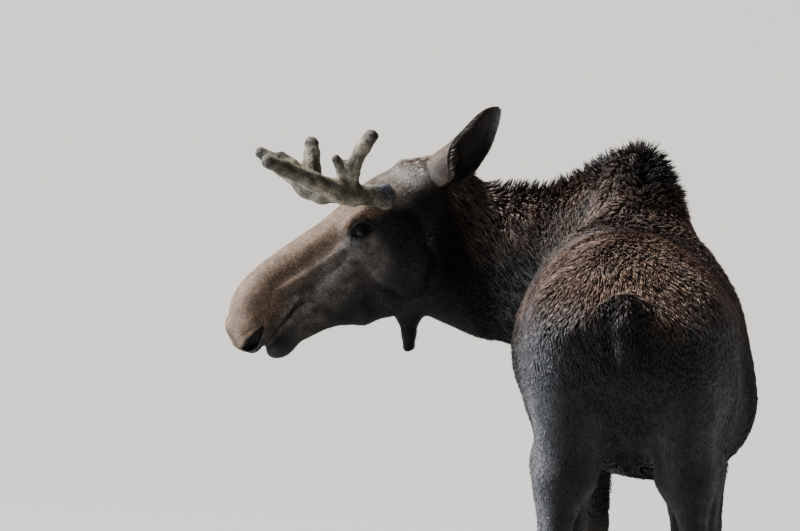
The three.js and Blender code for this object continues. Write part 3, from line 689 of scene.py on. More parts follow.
# ---------- the face
# Points of the face are (out, forward, up) in the head's frame, on the left; the right side mirrors them.
EYE = (EYE_PLACE[0], -EYE_PLACE[1], EYE_PLACE[2])
LID_SLANT = 20.0  # degrees the eye's front corner lies further out of the forehead than its rear corner
LID_HALF, LID_OVER, LID_UNDER = 18.0, 9.0, 6.5  # half length of the opening, and its reach above and below
NOSTRIL = [(44, 650, -92), (60, 634, -86), (70, 614, -79), (73, 590, -71)]
NOSTRIL_WIDE = [14.5, 16.5, 12.0, 5.0]
MOUTH_CORNER = (56, 480, -84)
MOUTH_SLOPE = 0.2


def face_points(q):
    return np.stack([np.abs(q[:, 0]), -q[:, 1], q[:, 2]], 1)


def mouth_gap(f):
    """How far a point lies above the line of the mouth, and how far it is ahead of its corner."""
    past = f[:, 1] - MOUTH_CORNER[1]
    return f[:, 2] - (MOUTH_CORNER[2] - MOUTH_SLOPE * past), past


def eye_frame(f):
    """Along the lids (forward) and across them (up) from the middle of the eye."""
    c, s = math.cos(math.radians(LID_SLANT)), math.sin(math.radians(LID_SLANT))
    a, b = f[:, 1] - EYE[1], f[:, 2] - EYE[2]
    return c * a + s * b, c * b - s * a


def lid_gap(f):
    """How far a point lies outside the opening of the lids, in millimetres, negative inside it."""
    along, over = eye_frame(f)
    bow = np.maximum(1 - (along / LID_HALF) ** 2, 0)
    edge = np.where(over > 0, LID_OVER * bow**0.75, LID_UNDER * bow**0.9)
    past = np.maximum(np.abs(along) - LID_HALF, 0)
    return np.hypot(np.maximum(np.abs(over) - edge, 0), past) + np.minimum(np.abs(over) - edge, 0)


def near_path(f, path):
    """Distance to a path, and where along it, from 0 to 1. A path of (forward, up) is seen from the side."""
    path = np.array(path, float)
    seen = f[:, 3 - path.shape[1] :]
    best, place = np.full(len(f), 1e9), np.zeros(len(f))
    for i, (a, b) in enumerate(zip(path, path[1:])):
        q, along = seen - a, b - a
        t = np.clip(q @ along / (along @ along), 0, 1)
        d = np.linalg.norm(q - t[:, None] * along, axis=1)
        closer = d < best
        best, place = np.where(closer, d, best), np.where(closer, (i + t) / (len(path) - 1), place)
    return best, place


def nostril_wide(place):
    return np.interp(place, np.linspace(0, 1, len(NOSTRIL)), NOSTRIL_WIDE)


# Soft ridges (raised) and furrows (sunk) of the face: path of (forward, up), width, height.
FOLDS = [
    ([(292, -50), (330, -47), (380, -43), (440, -36), (500, -26)], 11, 4.0),  # muscle from eye to nostril
    ([(300, -70), (350, -68), (420, -60), (470, -50), (540, -46)], 9, -3.5),
    ([(300, -20), (360, -14), (430, -10), (500, -4)], 12, -2.6),
    ([(250, 22), (320, 14), (400, 14)], 16, 1.8),
    ([(330, -92), (390, -96), (440, -84)], 12, 3.0),
    ([(480, -84), (462, -86), (446, -96), (436, -112)], 5, -3.4),  # folds behind the corner of the mouth
    ([(472, -74), (450, -74), (430, -84)], 6, 2.6),
    ([(556, -66), (530, -58), (508, -62), (492, -72)], 8, -3.0),  # crease behind the nostril
    ([(592, -52), (560, -46), (530, -40)], 9, -2.0),
    ([(262, -96), (240, -104), (214, -100)], 7, -2.4),  # below the eye
    ([(214, -6), (232, 6), (258, 8), (276, 0)], 9, 3.5),  # brow
    ([(204, -30), (214, -14), (238, -10), (262, -14)], 4.5, -2.2),  # crease between brow and lid
    ([(150, -40), (120, -62), (108, -100), (120, -140)], 16, -3.5),  # temple
    ([(130, -150), (150, -220), (210, -262)], 13, -3.0),  # behind the cheek
    ([(290, -130), (288, -180), (262, -226)], 10, -3.0),  # ahead of the cheek
]
DUCT = [(EYE[1] + 15, EYE[2] + 4), (EYE[1] + 27, EYE[2] + 1), (EYE[1] + 34, EYE[2] - 4)]
# A rim round the opening of the lids (0), and folds and bags above (1) and below (2) it: place, height,
# distance from the opening, width.
LID_FOLDS = [
    (0, 2.6, 2.2, 2.4), (1, -2.6, 8.5, 2.2), (1, 2.2, 13, 3.4),
    (2, -1.8, 7.5, 1.8), (2, 1.8, 11.5, 3.0), (2, -1.5, 16.5, 2.4),
]


def face_shift(f, n):
    """How far each point of the face moves, from its place on the left side and its outward normal."""
    push = np.zeros(len(f))
    out, ahead, _ = f.T
    side = smooth(20, 45, out)
    for path, wide, high in FOLDS:
        d, place = near_path(f, path)
        fade = smooth(-0.02, 0.15, place) * smooth(1.02, 0.85, place)
        push += 1.5 * high * hill(d, wide) * (0.35 + 0.65 * fade) * side
    along, over = eye_frame(f)
    gap = lid_gap(f)
    by_eye = side * smooth(70, 45, np.hypot(along, over))
    above = smooth(-4, 4, over)
    reach = smooth(40, 22, np.abs(along))
    places = by_eye, by_eye * above * reach, by_eye * (1 - above) * reach
    for where, high, away, wide in LID_FOLDS:
        push += places[where] * high * hill(gap - away, wide)
    push -= side * 3.4 * hill(near_path(f, DUCT)[0], 3.0)
    move = n * push[:, None]
    # The opening of the lids lets the eyeball show, so the skin there goes in behind its surface.
    sunk = side * smooth(0.9, -1.3, gap) * (np.hypot(along, over) < 40)
    move[:, 0] -= sunk * 13.0
    # Nostril: a comma that runs back and up from the front of the muzzle.
    d, place = near_path(f, NOSTRIL)
    wide = nostril_wide(place)
    side_nose = smooth(8, 24, out)
    hole = side_nose * smooth(1.0, 0.62, d / wide)
    rim = side_nose * hill((d - wide * 1.3) / 6.0, 1.0)
    into = unit(np.array([-0.62, -0.72, 0.12]))
    move += into * (hole * (28 - 14 * place))[:, None] + n * (3.4 * rim * smooth(1.05, 0.7, place))[:, None]
    # Mouth: a deep line between the lips, up to its corner.
    off_line = mouth_gap(f)[0] + 3.6 * hill(ahead - 560, 60)
    gentle = smooth(660, 640, ahead) * smooth(474, 492, ahead)
    lips = 7.5 * hill(off_line, 3.4) - 2.2 * hill(off_line - 9, 6) - 2.6 * hill(off_line + 9, 6)
    move -= n * (gentle * lips)[:, None]
    return move


def sculpt_head(skin):
    mesh = skin.data
    p = points_of(mesh)
    q = to_head(p)
    n = normals_of(mesh) @ HEAD_TURN
    f = face_points(q)
    mirror = np.where(q[:, :1] < 0, -1.0, 1.0)
    fn = np.stack([n[:, 0] * mirror[:, 0], -n[:, 1], n[:, 2]], 1)
    on = (f[:, 1] > 40) & (f[:, 0] < 200)
    move = face_shift(f, fn)
    move = np.stack([move[:, 0] * mirror[:, 0], -move[:, 1], move[:, 2]], 1)
    q[on] += move[on]
    set_points(mesh, from_head(q))


def on_face(middles):
    out, ahead, _ = face_points(to_head(middles)).T
    return (ahead > -20) & (out < 200)


def near_features(eye_wide, eye_out, nostril_near, mouth_near):
    """A test of which points lie near the eye, the nostril and the mouth."""

    def test(middles):
        f = face_points(to_head(middles))
        out, ahead, up = f.T
        eye = (np.hypot(ahead - EYE[1], up - EYE[2]) < eye_wide) & (out > eye_out)
        mouth = (np.abs(mouth_gap(f)[0]) < mouth_near) & (ahead > 440)
        return (out < 130) & (eye | (near_path(f, NOSTRIL)[0] < nostril_near) | mouth)

    return test


skin = make_skin()
for wanted in (on_face, near_features(52, 50, 30, 20), near_features(32, 55, 20, 0)):
    refine(skin, wanted)
skin_edges = edges_of(skin.data)
skin_points = points_of(skin.data)
here = to_head(skin_points)[:, 1] < 0
for _ in range(3):
    skin_points = relaxed(skin_points, skin_edges, 0.5, here & (np.abs(to_head(skin_points)[:, 0]) < 200))
    skin_points[here] = onto(skin_points[here], skin_field, 1)
set_points(skin.data, skin_points)
sculpt_head(skin)

# ---------- ears
# along the ear, half width, half angle of its curl and backward twist of its opening in degrees
EAR_ROWS = [
    (-0.14, 38, 165, 78), (0.0, 47, 160, 74), (0.14, 54, 146, 62), (0.3, 55, 112, 36), (0.5, 50, 84, 8),
    (0.7, 43, 68, 0), (0.86, 31, 58, 0), (0.96, 17, 52, 0), (1.0, 6, 50, 0),
]
EAR_BOW, EAR_HAIR = 22.0, 3.5  # how far its middle is bowed to the rear, and the depth of its hair
EAR_STEPS, EAR_ROUND = 46, 24
ear_shape = through(EAR_ROWS)


def ear_form(root, tip, opening):
    """Points, faces and, for each point, its place along the ear, inner side (1) or outer (0), and place
    across from the front rim (-1) to the rear rim (1), with the ear's axis."""
    side = 1.0 if root[0] > 0 else -1.0
    root, tip = np.array(root, float), np.array(tip, float)
    long = np.linalg.norm(tip - root) - EAR_HAIR
    axis = unit(tip - root)
    front = unit(np.array(opening) - np.dot(opening, axis) * axis)
    rear = np.cross(axis, front) * side
    rings, facts = [], []
    for t in np.linspace(-0.14, 1.0, EAR_STEPS):
        _, half, curl, twist = ear_shape(np.array([t]))[0]
        buried = float(smooth(0.16, -0.14, t))
        half = max((half - EAR_HAIR) * (1 - 0.25 * buried), 3)
        angle, twist = math.radians(curl), math.radians(twist)
        radius = half / math.sin(min(angle, math.pi / 2))
        face = front * math.cos(twist) + rear * math.sin(twist)
        across = np.cross(axis, face)
        centre = root + axis * t * long + rear * EAR_BOW * math.sin(math.pi * max(t, 0)) ** 2
        centre = centre - [side * 34 * buried, 0, 0]
        thick = 4.2 - 1.6 * max(t, 0)
        for inner in (0, 1):
            for a in np.linspace(-1, 1, EAR_ROUND) * (1 - 2 * inner):
                r = radius - inner * thick * (1 - 0.7 * abs(a) ** 3)
                turned = a * angle * (1 - 0.015 * inner)
                ridge = 1.5 * math.sin(5 * math.pi * a) * (1 - a * a)
                ridge = ridge * smooth(0.1, 0.4, t) * smooth(0.9, 0.6, t)
                q = centre + axis * 5 * a * a * max(t, 0) + across * (r * math.sin(turned))
                rings.append(q + face * (radius - r * math.cos(turned) - half * 0.5 + inner * ridge))
                facts.append((t, inner, a * side))
    count = 2 * EAR_ROUND
    points = np.array(rings).reshape(-1, 3)
    faces = band_faces(EAR_STEPS, count)
    for i, flip in ((0, True), (EAR_STEPS - 1, False)):
        for j in range(EAR_ROUND - 1):
            quad = [i * count + v for v in (j, j + 1, count - 2 - j, count - 1 - j)]
            faces.append(quad[::-1] if flip else quad)
    return points, faces, np.array(facts), axis


skin_count = len(skin.data.vertices)
ear_facts = []  # first point, number of points, facts and axis of each ear in the skin
for number, (root, tip, opening) in enumerate(EARS):
    points, faces, facts, axis = ear_form(root, tip, opening)
    made = mesh_of(f"ear_{number}", from_head(points), faces)
    face_out(made.data)
    ear_facts.append((skin_count, len(points), facts, axis @ HEAD_TURN.T))
    skin_count += len(points)
    with bpy.context.temp_override(active_object=skin, selected_editable_objects=[skin, made]):
        bpy.ops.object.join()
finished(skin, *FLESH)

# ---------- markings
skin_points = points_of(skin.data)
skin_normals = normals_of(skin.data)
on_ear = np.full(len(skin_points), -1)  # which ear each point is on, if any
at_ear = np.zeros((len(skin_points), 3))  # place along the ear, inner or outer side, and place across it
for number, (start, count, facts, _) in enumerate(ear_facts):
    on_ear[start : start + count] = number
    at_ear[start : start + count] = facts

MARKS = ("red", "grey", "pale", "frost", "tan", "white", "black")
NAPE_TOP = from_head((100, 40, -166))
# Places of painted highlights on the sides of the hump and the croup.
HUMP_SIDE, CROUP_SIDE = np.array([95.0, -330.0, 1520.0]), np.array([-130.0, 690.0, 1470.0])


def markings(p, n, ear, at_ear):
    """How strongly each colour of the coat shows at each point, from 0 to 1, in the order it is laid on."""
    r = regions(p)
    _, y, z = p.T
    f = face_points(r["q"])
    blotch, fine, speck = lattice(p, 130, 3), lattice(p, 42, 5), lattice(p, 15, 6)
    head, off, low = r["head"], 1 - r["head"], r["low"]
    out, ahead, up = f.T
    fore = smooth(60, -120, y) * smooth(1180, 1330, z) * (1 - 0.75 * r["neck"])
    top = smooth(0.05, 0.75, n[:, 2] + 0.18 * blotch + 0.42 * fore)
    # Red-brown: hump, shoulders, croup and the top of the neck.
    red = off * (1 - low) * np.clip(top * 0.95 + 0.22 * blotch + 0.18 * fine, 0, 1)
    red = red * smooth(1210, 1400, z) * (1 - 0.9 * r["crest"])
    # Grey: a painted blue-grey sheen, the sky's reflection on the smooth hair of the thighs and flanks,
    # strongest where they face the side and the rear; and the skin between the hind legs.
    side = smooth(0.15, 0.7, np.abs(n[:, 0]) + 0.25 * fine)
    grey = off * smooth(150, 380, y) * smooth(1460, 1300, z) * smooth(560, 760, z) * side
    grey = grey * (0.6 + 0.5 * smooth(0.05, 0.5, n[:, 1]))
    grey = np.maximum(grey, 0.55 * off * near(p, GROIN, 62))
    # Pale: the legs below the hock and knee.
    pale = low * off * (0.8 + 0.2 * fine) * smooth(880, 600, z)
    # Grizzled: the side of the face ahead of the eye and below it, mottled with dark.
    face = smooth(200, 262, ahead) * smooth(-190, -112, up + 20 * blotch) * smooth(640, 540, ahead)
    frost = head * np.clip(face * (0.80 + 0.45 * fine + 0.5 * speck), 0, 1)
    # Painted highlights in the frost's colour: lit strands behind the ears and on the sides of the hump and
    # croup.
    nape = hill(np.linalg.norm((p - NAPE_TOP) / [1, 1, 0.8], axis=1), 150)
    streaks = 0.5 * nape + 0.7 * near(p, HUMP_SIDE, 150) + 0.5 * near(p, CROUP_SIDE, 120)
    streaks = off * np.clip(streaks, 0, 1) * np.clip(0.6 + 0.9 * speck + 0.5 * fine, 0, 1)
    frost = np.maximum(frost, streaks * (1 - r["crest"]))
    # Tan: bridge of the nose, brow and muzzle, with a grizzled forehead and crown; the forehead's grizzle is
    # partly painted light.
    edge = -30 + 26 * hill(ahead - 232, 46) - 48 * smooth(430, 590, ahead) - 26 * smooth(190, 120, ahead)
    over = smooth(edge - 26, edge + 10, up + 7 * fine + 6 * speck)
    forehead = hill(ahead - 75, 95)
    tan = head * over * smooth(-30, 30, ahead) * (0.86 + 0.18 * speck) * (1 - 0.55 * forehead)
    # The forehead's grizzle, partly painted light on a forehead that the antlers shade.
    frost = np.maximum(frost, head * over * forehead)
    crown = near(r["q"], CROWN, CROWN_SIZE) * smooth(-75, -35, r["q"][:, 2] + 12 * fine)
    tan, frost = np.maximum(tan, 0.7 * crown), np.maximum(frost, 0.8 * crown)
    # White-grey: the patch at the foot of the ear and the duct ahead of the eye, and on the forehead painted
    # light where the antlers shade it.
    patch = near(f, [98, 26, -24], 25)
    duct = 0.62 * hill(np.hypot(ahead - EYE[1] - 44, (up - EYE[2] + 4) * 1.6), 20) * smooth(30, 50, out)
    white = head * np.clip(np.maximum(patch, duct) * (0.8 + 0.5 * speck), 0, 1)
    # Painted light: the forehead lightened towards white-grey, against the antlers' shadow on it.
    white = np.maximum(white, head * over * 0.42 * near(f, [66, 75, -12], 66))
    # Black: temple, eyelids, nostrils, lips, chin, the bell, the tail and the bristles, with painted shade
    # under the brow round the eyelids, in the crease behind the hump and on the rear of the rump.
    # Dark eyelids and the dark skin round them, widened into painted shadow under the brow.
    lids = smooth(25, 7, lid_gap(f) + 3 * speck) * smooth(50, 60, out)
    temple = 0.75 * smooth(-36, -66, up + 10 * fine) * smooth(225, 180, ahead) * smooth(-60, 10, ahead)
    d, place = near_path(f, [joint[1:] for joint in NOSTRIL])
    nostril = smooth(1.25, 0.95, d / nostril_wide(place)) * smooth(20, 34, out)
    above, past = mouth_gap(f)
    lips = 0.9 * hill(above, 6) * smooth(-8, 10, past)
    chin = 0.75 * smooth(0, -22, above) * smooth(30, 90, past)
    black = head * np.max([lids, nostril, lips, chin, temple], 0)
    # Painted shade: a dark band across the top of the back, where the crease between the hump and the croup
    # lies in shadow.
    painted_crease_shade = 0.7 * off * hill(y - 110 + 70 * blotch, 240) * smooth(0.35, 0.8, n[:, 2] + 0.25 * fine)
    # Painted shade: the rear face of the rump, turned away from the key light, darkened towards black.
    hind = 0.65 * smooth(0.3, 0.75, n[:, 1] + 0.15 * fine)
    hind = hind * smooth(560, 700, y) * smooth(1400, 1300, z)
    black = np.max([black, 0.85 * r["crest"], painted_crease_shade, r["bell"], 0.85 * r["tail"], hind * (1 - low)], 0)
    # Ears: grizzled tan outside with a paler front rim, dark inside with a pale fringe along that rim.
    along_ear, inner, rim = at_ear.T
    inside = inner > 0.5
    fringe = smooth(-0.5, -0.95, rim) * smooth(-0.02, 0.12, along_ear) * smooth(0.8, 0.55, along_ear)
    either_rim = smooth(0.8, 1.0, np.abs(rim))
    tip = smooth(0.1, 0.7, along_ear)
    on_coat = dict(zip(MARKS, (red, grey, pale, frost, tan, white, black)))
    on_ears = {
        "red": 0.2, "grey": 0, "pale": 0,
        "frost": np.where(inside, 0.24 + 0.3 * either_rim + 0.3 * fine, 0.16 - 0.1 * tip + 0.3 * speck),
        "tan": np.where(inside, 0, 0.2 * (1 - tip) + 0.1 * either_rim),
        "white": np.where(inside, 0.55 * fringe, 0.45 * patch + 0.1 * either_rim * (1 - tip)),
        "black": np.where(inside, 0.6 * (1 - either_rim) * (1 - fringe), 0),
    }
    return {mark: np.clip(np.where(ear >= 0, on_ears[mark], on_coat[mark]), 0, 1) for mark in MARKS}


for mark, values in markings(skin_points, skin_normals, on_ear, at_ear).items():
    give(skin.data, mark, values)

# ---------- hooves and dewclaws
# forward, half width, height
HOOF_ROWS = ((-46, 14, 30), (-32, 25, 62), (10, 28, 84), (58, 22, 53), (92, 5, 10))
# The wall's outline round the top, in half widths and heights.
HOOF_WALL = (
    (0, 0.92, 0), (1, 1.0, 0.3), (2, 0.8, 0.76), (3, 0, 1.0), (4, -0.8, 0.76), (5, -1.0, 0.3), (6, -0.92, 0),
)
HOOF_APART, HOOF_SPLAY = 30.0, 5.0  # from the foot's middle to a toe's, and degrees that toes point outwards
CORONET, CORONET_SLOPE = 52.0, 0.28  # height where horn meets hair, and how much it drops to the rear
CLAW_ROWS = ((0, 14), (12, 16), (24, 14.5), (36, 10.5), (43, 6.5), (46, 1.5))  # down a dewclaw, radius
HOOF_RINGS, CLAW_RINGS, CLAW_ROUND = 52, 24, 28
RING_STEP, RING_HEIGHT = 0.95, 0.14  # of the fine rings of growth: radians for a millimetre, millimetres


def horn_piece(node, points, faces, below):
    """A hoof or dewclaw in place of its node, with rings of growth at distances below its upper edge."""
    made = mesh_of(node, points, faces)
    rings = RING_HEIGHT * np.sin(below * RING_STEP + 1.4 * lattice(points, 40, 31))
    rings = rings + 0.4 * np.sin(below * 0.37)
    raised = rings * smooth(0, 5, below) * smooth(0, 3, points[:, 2])
    set_points(made.data, points + normals_of(made.data) * raised[:, None])
    give(made.data, "below", below)
    return finished(made, node)


def hoof(name, toe_side, node):
    x, y, _ = foot_place(name)
    wall = through(HOOF_WALL)(np.linspace(0, 6, 37))[:, 1:]
    sole = np.stack([np.linspace(-0.92, 0.92, 11)[1:-1], np.zeros(9)], 1)
    section = np.concatenate([wall, sole])
    rings = []
    places = np.linspace(HOOF_ROWS[0][0], HOOF_ROWS[-1][0], HOOF_RINGS)
    for forward, half, height in through(HOOF_ROWS)(places):
        arch = 2.5 * np.clip(1 - (section[:, 0] / 0.75) ** 2, 0, 1) * (section[:, 1] == 0)
        behind = np.full(len(section), -forward)
        rings.append(np.stack([section[:, 0] * half, behind, section[:, 1] * height + arch], 1))
    points = np.concatenate(rings) @ turn(2, toe_side * HOOF_SPLAY).T + [x + toe_side * HOOF_APART, y, 0]
    top = CORONET - CORONET_SLOPE * (points[:, 1] - y)
    below = np.maximum(top - points[:, 2], 0)
    middle = np.array([x + toe_side * HOOF_APART, y + 4, 0])
    narrow = 1 - 0.24 * smooth(14, 58, points[:, 2]) - 0.22 * smooth(-7, 3, points[:, 2] - top)
    points[:, 0] = middle[0] + (points[:, 0] - middle[0]) * narrow
    shallow = 1 - 0.12 * smooth(-9, 3, points[:, 2] - top)
    points[:, 1] = middle[1] + (points[:, 1] - middle[1]) * shallow
    points[:, 2] = np.minimum(points[:, 2], top + 3)
    return horn_piece(node, points, tube_faces(HOOF_RINGS, len(section)), below)


def dewclaw(name, toe_side, node):
    x, y, _ = foot_place(name)
    axis = unit(np.array([toe_side * 0.15, 0.52, -0.84]))
    side = unit(np.cross(axis, [0, 1, 0]))
    over = np.cross(axis, side)
    start = np.array([x + toe_side * 20, y + 34, 104])
    rows = through(CLAW_ROWS)(np.linspace(0, CLAW_ROWS[-1][0], CLAW_RINGS))
    angles = np.linspace(0, 2 * math.pi, CLAW_ROUND, endpoint=False)
    around = np.cos(angles)[:, None] * side + np.sin(angles)[:, None] * over * 0.86
    points = np.concatenate([start + axis * down + around * r for down, r in rows])
    faces = tube_faces(len(rows), CLAW_ROUND)
    return horn_piece(node, points, faces, np.repeat(rows[:, 0], CLAW_ROUND))


horn_pieces = []
for name in STANCE:
    outward = 1 if name.endswith("left") else -1
    for which, toe_side in (("outer", outward), ("inner", -outward)):
        horn_pieces.append(hoof(name, toe_side, f"{name}_hoof_{which}"))
        horn_pieces.append(dewclaw(name, toe_side, f"{name}_dewclaw_{which}"))

# ---------- eyes
EYE_ROUND = 64
BALL_RADIUS, CORNEA = EYE_RADIUS - 1.2, 1.1  # radius of the eyeball, and how far its cornea stands out
IRIS, PUPIL = 12.5, (8.6, 4.0)  # radius of the iris, and half length and half height of the pupil


def eyeball(side):
    """A round eye with a cornea that stands out, and the places of iris and pupil in it."""
    name = "eye_left" if side > 0 else "eye_right"
    outward = unit(np.array([side * 1.0, -0.1, 0.1]))
    slant = math.radians(LID_SLANT)
    along = np.array([0, -math.cos(slant), math.sin(slant)])
    along = unit(along - (along @ outward) * outward)
    over = np.cross(outward, along) * side
    rings = []
    stops = np.concatenate([np.linspace(0.02, 0.75, 40), np.linspace(0.79, math.pi - 0.02, 26)])
    angles = np.linspace(0, 2 * math.pi, EYE_ROUND, endpoint=False)
    for stop in stops:
        r = BALL_RADIUS + CORNEA * smooth(0.66, 0.3, stop)
        ring = np.cos(angles)[:, None] * along + np.sin(angles)[:, None] * over
        rings.append(r * (outward * math.cos(stop) + ring * math.sin(stop)))
    points = np.concatenate(rings)
    x, y = points @ along, points @ over
    made = mesh_of(name, from_head(points + EYE_PLACE * [side, 1, 1]), tube_faces(len(stops), EYE_ROUND))
    face_out(made.data)
    behind = 2 * (points @ outward < 0)
    give(made.data, "iris", np.hypot(x, y) / IRIS + behind)
    give(made.data, "pupil", np.hypot(x / PUPIL[0], y / PUPIL[1]) + behind)
    give(made.data, "fibre", np.arctan2(y / 0.8, x))
    return finished(made, name)


eyes = [eyeball(1), eyeball(-1)]

# ---------- antlers
# Joints of (out to the side, forward, up, radius) in the head's frame.
ANTLERS = {
    "left": (
        ((60, 142, -30, 29), (93, 146, 0, 31), (130, 178, 24, 27), (172, 214, 58, 29), (188, 232, 84, 30)),
        ((190, 236, 84, 28), (214, 282, 160, 23), (236, 322, 232, 21), (251, 345, 270, 18)),
        ((186, 218, 78, 27), (208, 182, 118, 22), (236, 136, 144, 20), (257, 101, 157, 20)),
        ((196, 204, 124, 16), (202, 198, 160, 14)),
    ),
    "right": (
        ((58, 142, -30, 28), (88, 148, -2, 28), (136, 182, 28, 26), (178, 222, 64, 30), (204, 236, 96, 32)),
        ((206, 236, 96, 30), (222, 246, 154, 25), (240, 264, 202, 21), (248, 273, 233, 17)),
        ((206, 222, 98, 29), (224, 196, 128, 24), (240, 172, 150, 20), (252, 155, 168, 21)),
        ((226, 232, 168, 15), (238, 236, 196, 13)),
    ),
}
VELVET = 2.6  # depth of the velvet's hair
VELVET_HAIRS = 11.0  # tufts on a square centimetre
ANTLER_STEPS = (0.006, 0.0032)  # metres between the points of the first and the second mesh


def tine_place(q, side, joints):
    """How far each point is from the line of a tine, where along it, from 0 to 1, and its angle round it."""
    line = np.array([(side * out, -ahead, up) for out, ahead, up, _ in joints], float)
    best, place, angle = np.full(len(q), 1e9), np.zeros(len(q)), np.zeros(len(q))
    for i, (a, b) in enumerate(zip(line, line[1:])):
        along = b - a
        t = np.clip((q - a) @ along / (along @ along), 0, 1)
        off = q - a - t[:, None] * along
        d = np.linalg.norm(off, axis=1)
        first = unit(np.cross(along, [side * 0.3, 1, 0.2]))
        second = unit(np.cross(along, first))
        closer = d < best
        best, place = np.where(closer, d, best), np.where(closer, (i + t) / (len(line) - 1), place)
        angle = np.where(closer, np.arctan2(off @ second, off @ first), angle)
    return best, place, angle


def antler(name, side, tines):
    """An antler in velvet: swollen ends, long ridges with furrows between them, lumps and fine grain."""
    form = blend(20, *(chain(*((side * out, -ahead, up, r) for out, ahead, up, r in tine)) for tine in tines))

    def field(p):
        return form(to_head(p)) + VELVET

    replaced = [node for node in nodes if node.startswith(f"antler_{name}")]
    made = joined(f"antler_{name}", replaced)
    p = wrapped(made, field, ANTLER_STEPS, 9)
    q, n = to_head(p), normals_of(made.data)
    best, push = np.full(len(q), 1e9), np.zeros(len(q))
    ends = np.zeros(len(q))
    for number, tine in enumerate(tines):
        d, place, angle = tine_place(q, side, tine)
        wander = angle + 0.5 * lattice(q, 70, 41 + number)
        ridges = np.cos(4 * wander) + 0.5 * np.cos(9 * wander)
        ridges *= smooth(0.0, 0.2, place) * smooth(0.95, 0.6, place)
        if number == 1:
            furrow = 2.6 * hill(wander + 1.2, 0.24)
            ridges -= furrow * smooth(0.08, 0.3, place) * smooth(0.9, 0.7, place)
        closer = d < best
        best, push = np.where(closer, d, best), np.where(closer, ridges, push)
        ends = np.where(closer, smooth(0.78, 1.0, place) * (number > 0), ends)
    wet = near(q, [side * 109, -132, 14], 40)
    lumps = 1.7 * lattice(q, 30, 21) + lattice(q, 13, 22) + 0.55 * lattice(q, 6.5, 23)
    push = push + lumps * (1 + 0.5 * ends) + 0.5 * wet * lattice(q, 9, 24)
    burr = hill(q[:, 2] + 0.9 * (side * q[:, 0] - 74) + 12, 10) * (np.abs(q[:, 0]) < 112)
    push += burr * (1.2 + 1.6 * lattice(q, 8, 25))
    set_points(made.data, p + n * push[:, None])
    give(made.data, "wet", np.clip(wet * 1.3, 0, 1))
    give(made.data, "ends", np.clip(ends, 0, 1))
    # How high the surface stands, which the velvet's painted shade follows.
    give(made.data, "lump", np.clip(0.5 + 0.3 * lumps + 0.1 * push, 0, 1))
    return finished(made, *replaced)


antlers = [antler(name, 1 if name == "left" else -1, tines) for name, tines in ANTLERS.items()]


# ---------- the coat
def unwrap(obj):
    """Unwraps a mesh by its own shape, as the map that it and its hair take their places from."""
    obj.data.uv_layers.new(name="OFBake")
    bpy.context.view_layer.objects.active = obj
    obj.select_set(True)
    bpy.ops.object.mode_set(mode="EDIT")
    bpy.ops.mesh.select_all(action="SELECT")
    bpy.ops.uv.smart_project(angle_limit=math.radians(66), island_margin=0.002, area_weight=0.0)
    bpy.ops.object.mode_set(mode="OBJECT")
    obj.select_set(False)


SQUARE_CENTIMETRE = 100.0  # in square millimetres


def roots_on(mesh, density, cost=0.0, most=1.0):
    """Points spread over a mesh with a density per square centimetre at each of its points, thinned evenly
    if their cost would go over the most: for each one its triangle's points and corners, and its shares."""
    mesh.calc_loop_triangles()
    corners, loops = (read(mesh.loop_triangles, name, 3, np.int64) for name in ("vertices", "loops"))
    p = points_of(mesh)[corners]
    area = np.linalg.norm(np.cross(p[:, 1] - p[:, 0], p[:, 2] - p[:, 0]), axis=1) / 2 / SQUARE_CENTIMETRE
    wanted = area * density[corners].mean(1)
    total = (wanted * np.broadcast_to(cost, len(density))[corners].mean(1)).sum()
    wanted *= min(1.0, most / max(total, 1e-9))
    count = np.floor(wanted + rng.random(len(wanted))).astype(int)
    which = np.repeat(np.arange(len(count)), count)
    a, b = rng.random((2, len(which)))
    over = a + b > 1
    a, b = np.where(over, 1 - a, a), np.where(over, 1 - b, b)
    return corners[which], loops[which], np.stack([1 - a - b, a, b], 1)


def head_way(vector):
    return np.asarray(vector, float) @ HEAD_TURN.T


def laid_flat(way, normal):
    return unit(way - (way * normal).sum(1)[:, None] * normal)


def lie_of(p, n, r, ear):
    """The way the coat lies at each point, before it is laid flat on the skin."""
    side = np.clip(p[:, :1] / 130, -1, 1)  # no parting along the middle
    top = smooth(0.1, 0.8, n[:, 2:])
    hump = smooth(40, 260, -p[:, 1:2])
    way = towards(np.array([0.0, 0.42, -0.9]), [0.0, 0.85, -0.5] + side * [0.42, 0, 0], top)
    way = towards(way, [0.0, 0.45, -0.75] + side * [0.3, 0, 0], hump * 0.7)
    down_neck = -neck.along[neck.nearest(p)] * 0.75 + [0, 0, -0.65]
    q = r["q"]
    up_face = towards(head_way([0, 1, 0]), head_way([0, 0.8, -0.55]), smooth(-60, -200, q[:, 2:]))
    up_face = up_face + np.clip(q[:, :1] / 40, -1, 1) * head_way([0.22, 0, 0])
    chest = smooth(0.2, 0.8, -n[:, 1]) * hump[:, 0]
    for goal, share in (
        ([0, 0.1, -1], chest), (down_neck, r["neck"]), ([0, 0.12, -1], r["low"]),
        ([0, 0.25, -1], r["tail"]), ([0, 0, -1], r["bell"]), (up_face, r["head"]),
    ):
        way = towards(way, np.array(goal), share[:, None])
    for number, (_, _, _, axis) in enumerate(ear_facts):
        way = np.where((ear == number)[:, None], axis, way)
    return way


STATIONS = {1: (0.0,), 2: (0.0, 0.5), 3: (0.0, 0.34, 0.7)}  # where along a tuft its cross sections are
TAPER = {0.0: 0.75, 0.34: 1.0, 0.5: 0.95, 0.7: 0.72}  # and how wide each is
UV_PATCH = 0.003  # how much of the map a tuft takes


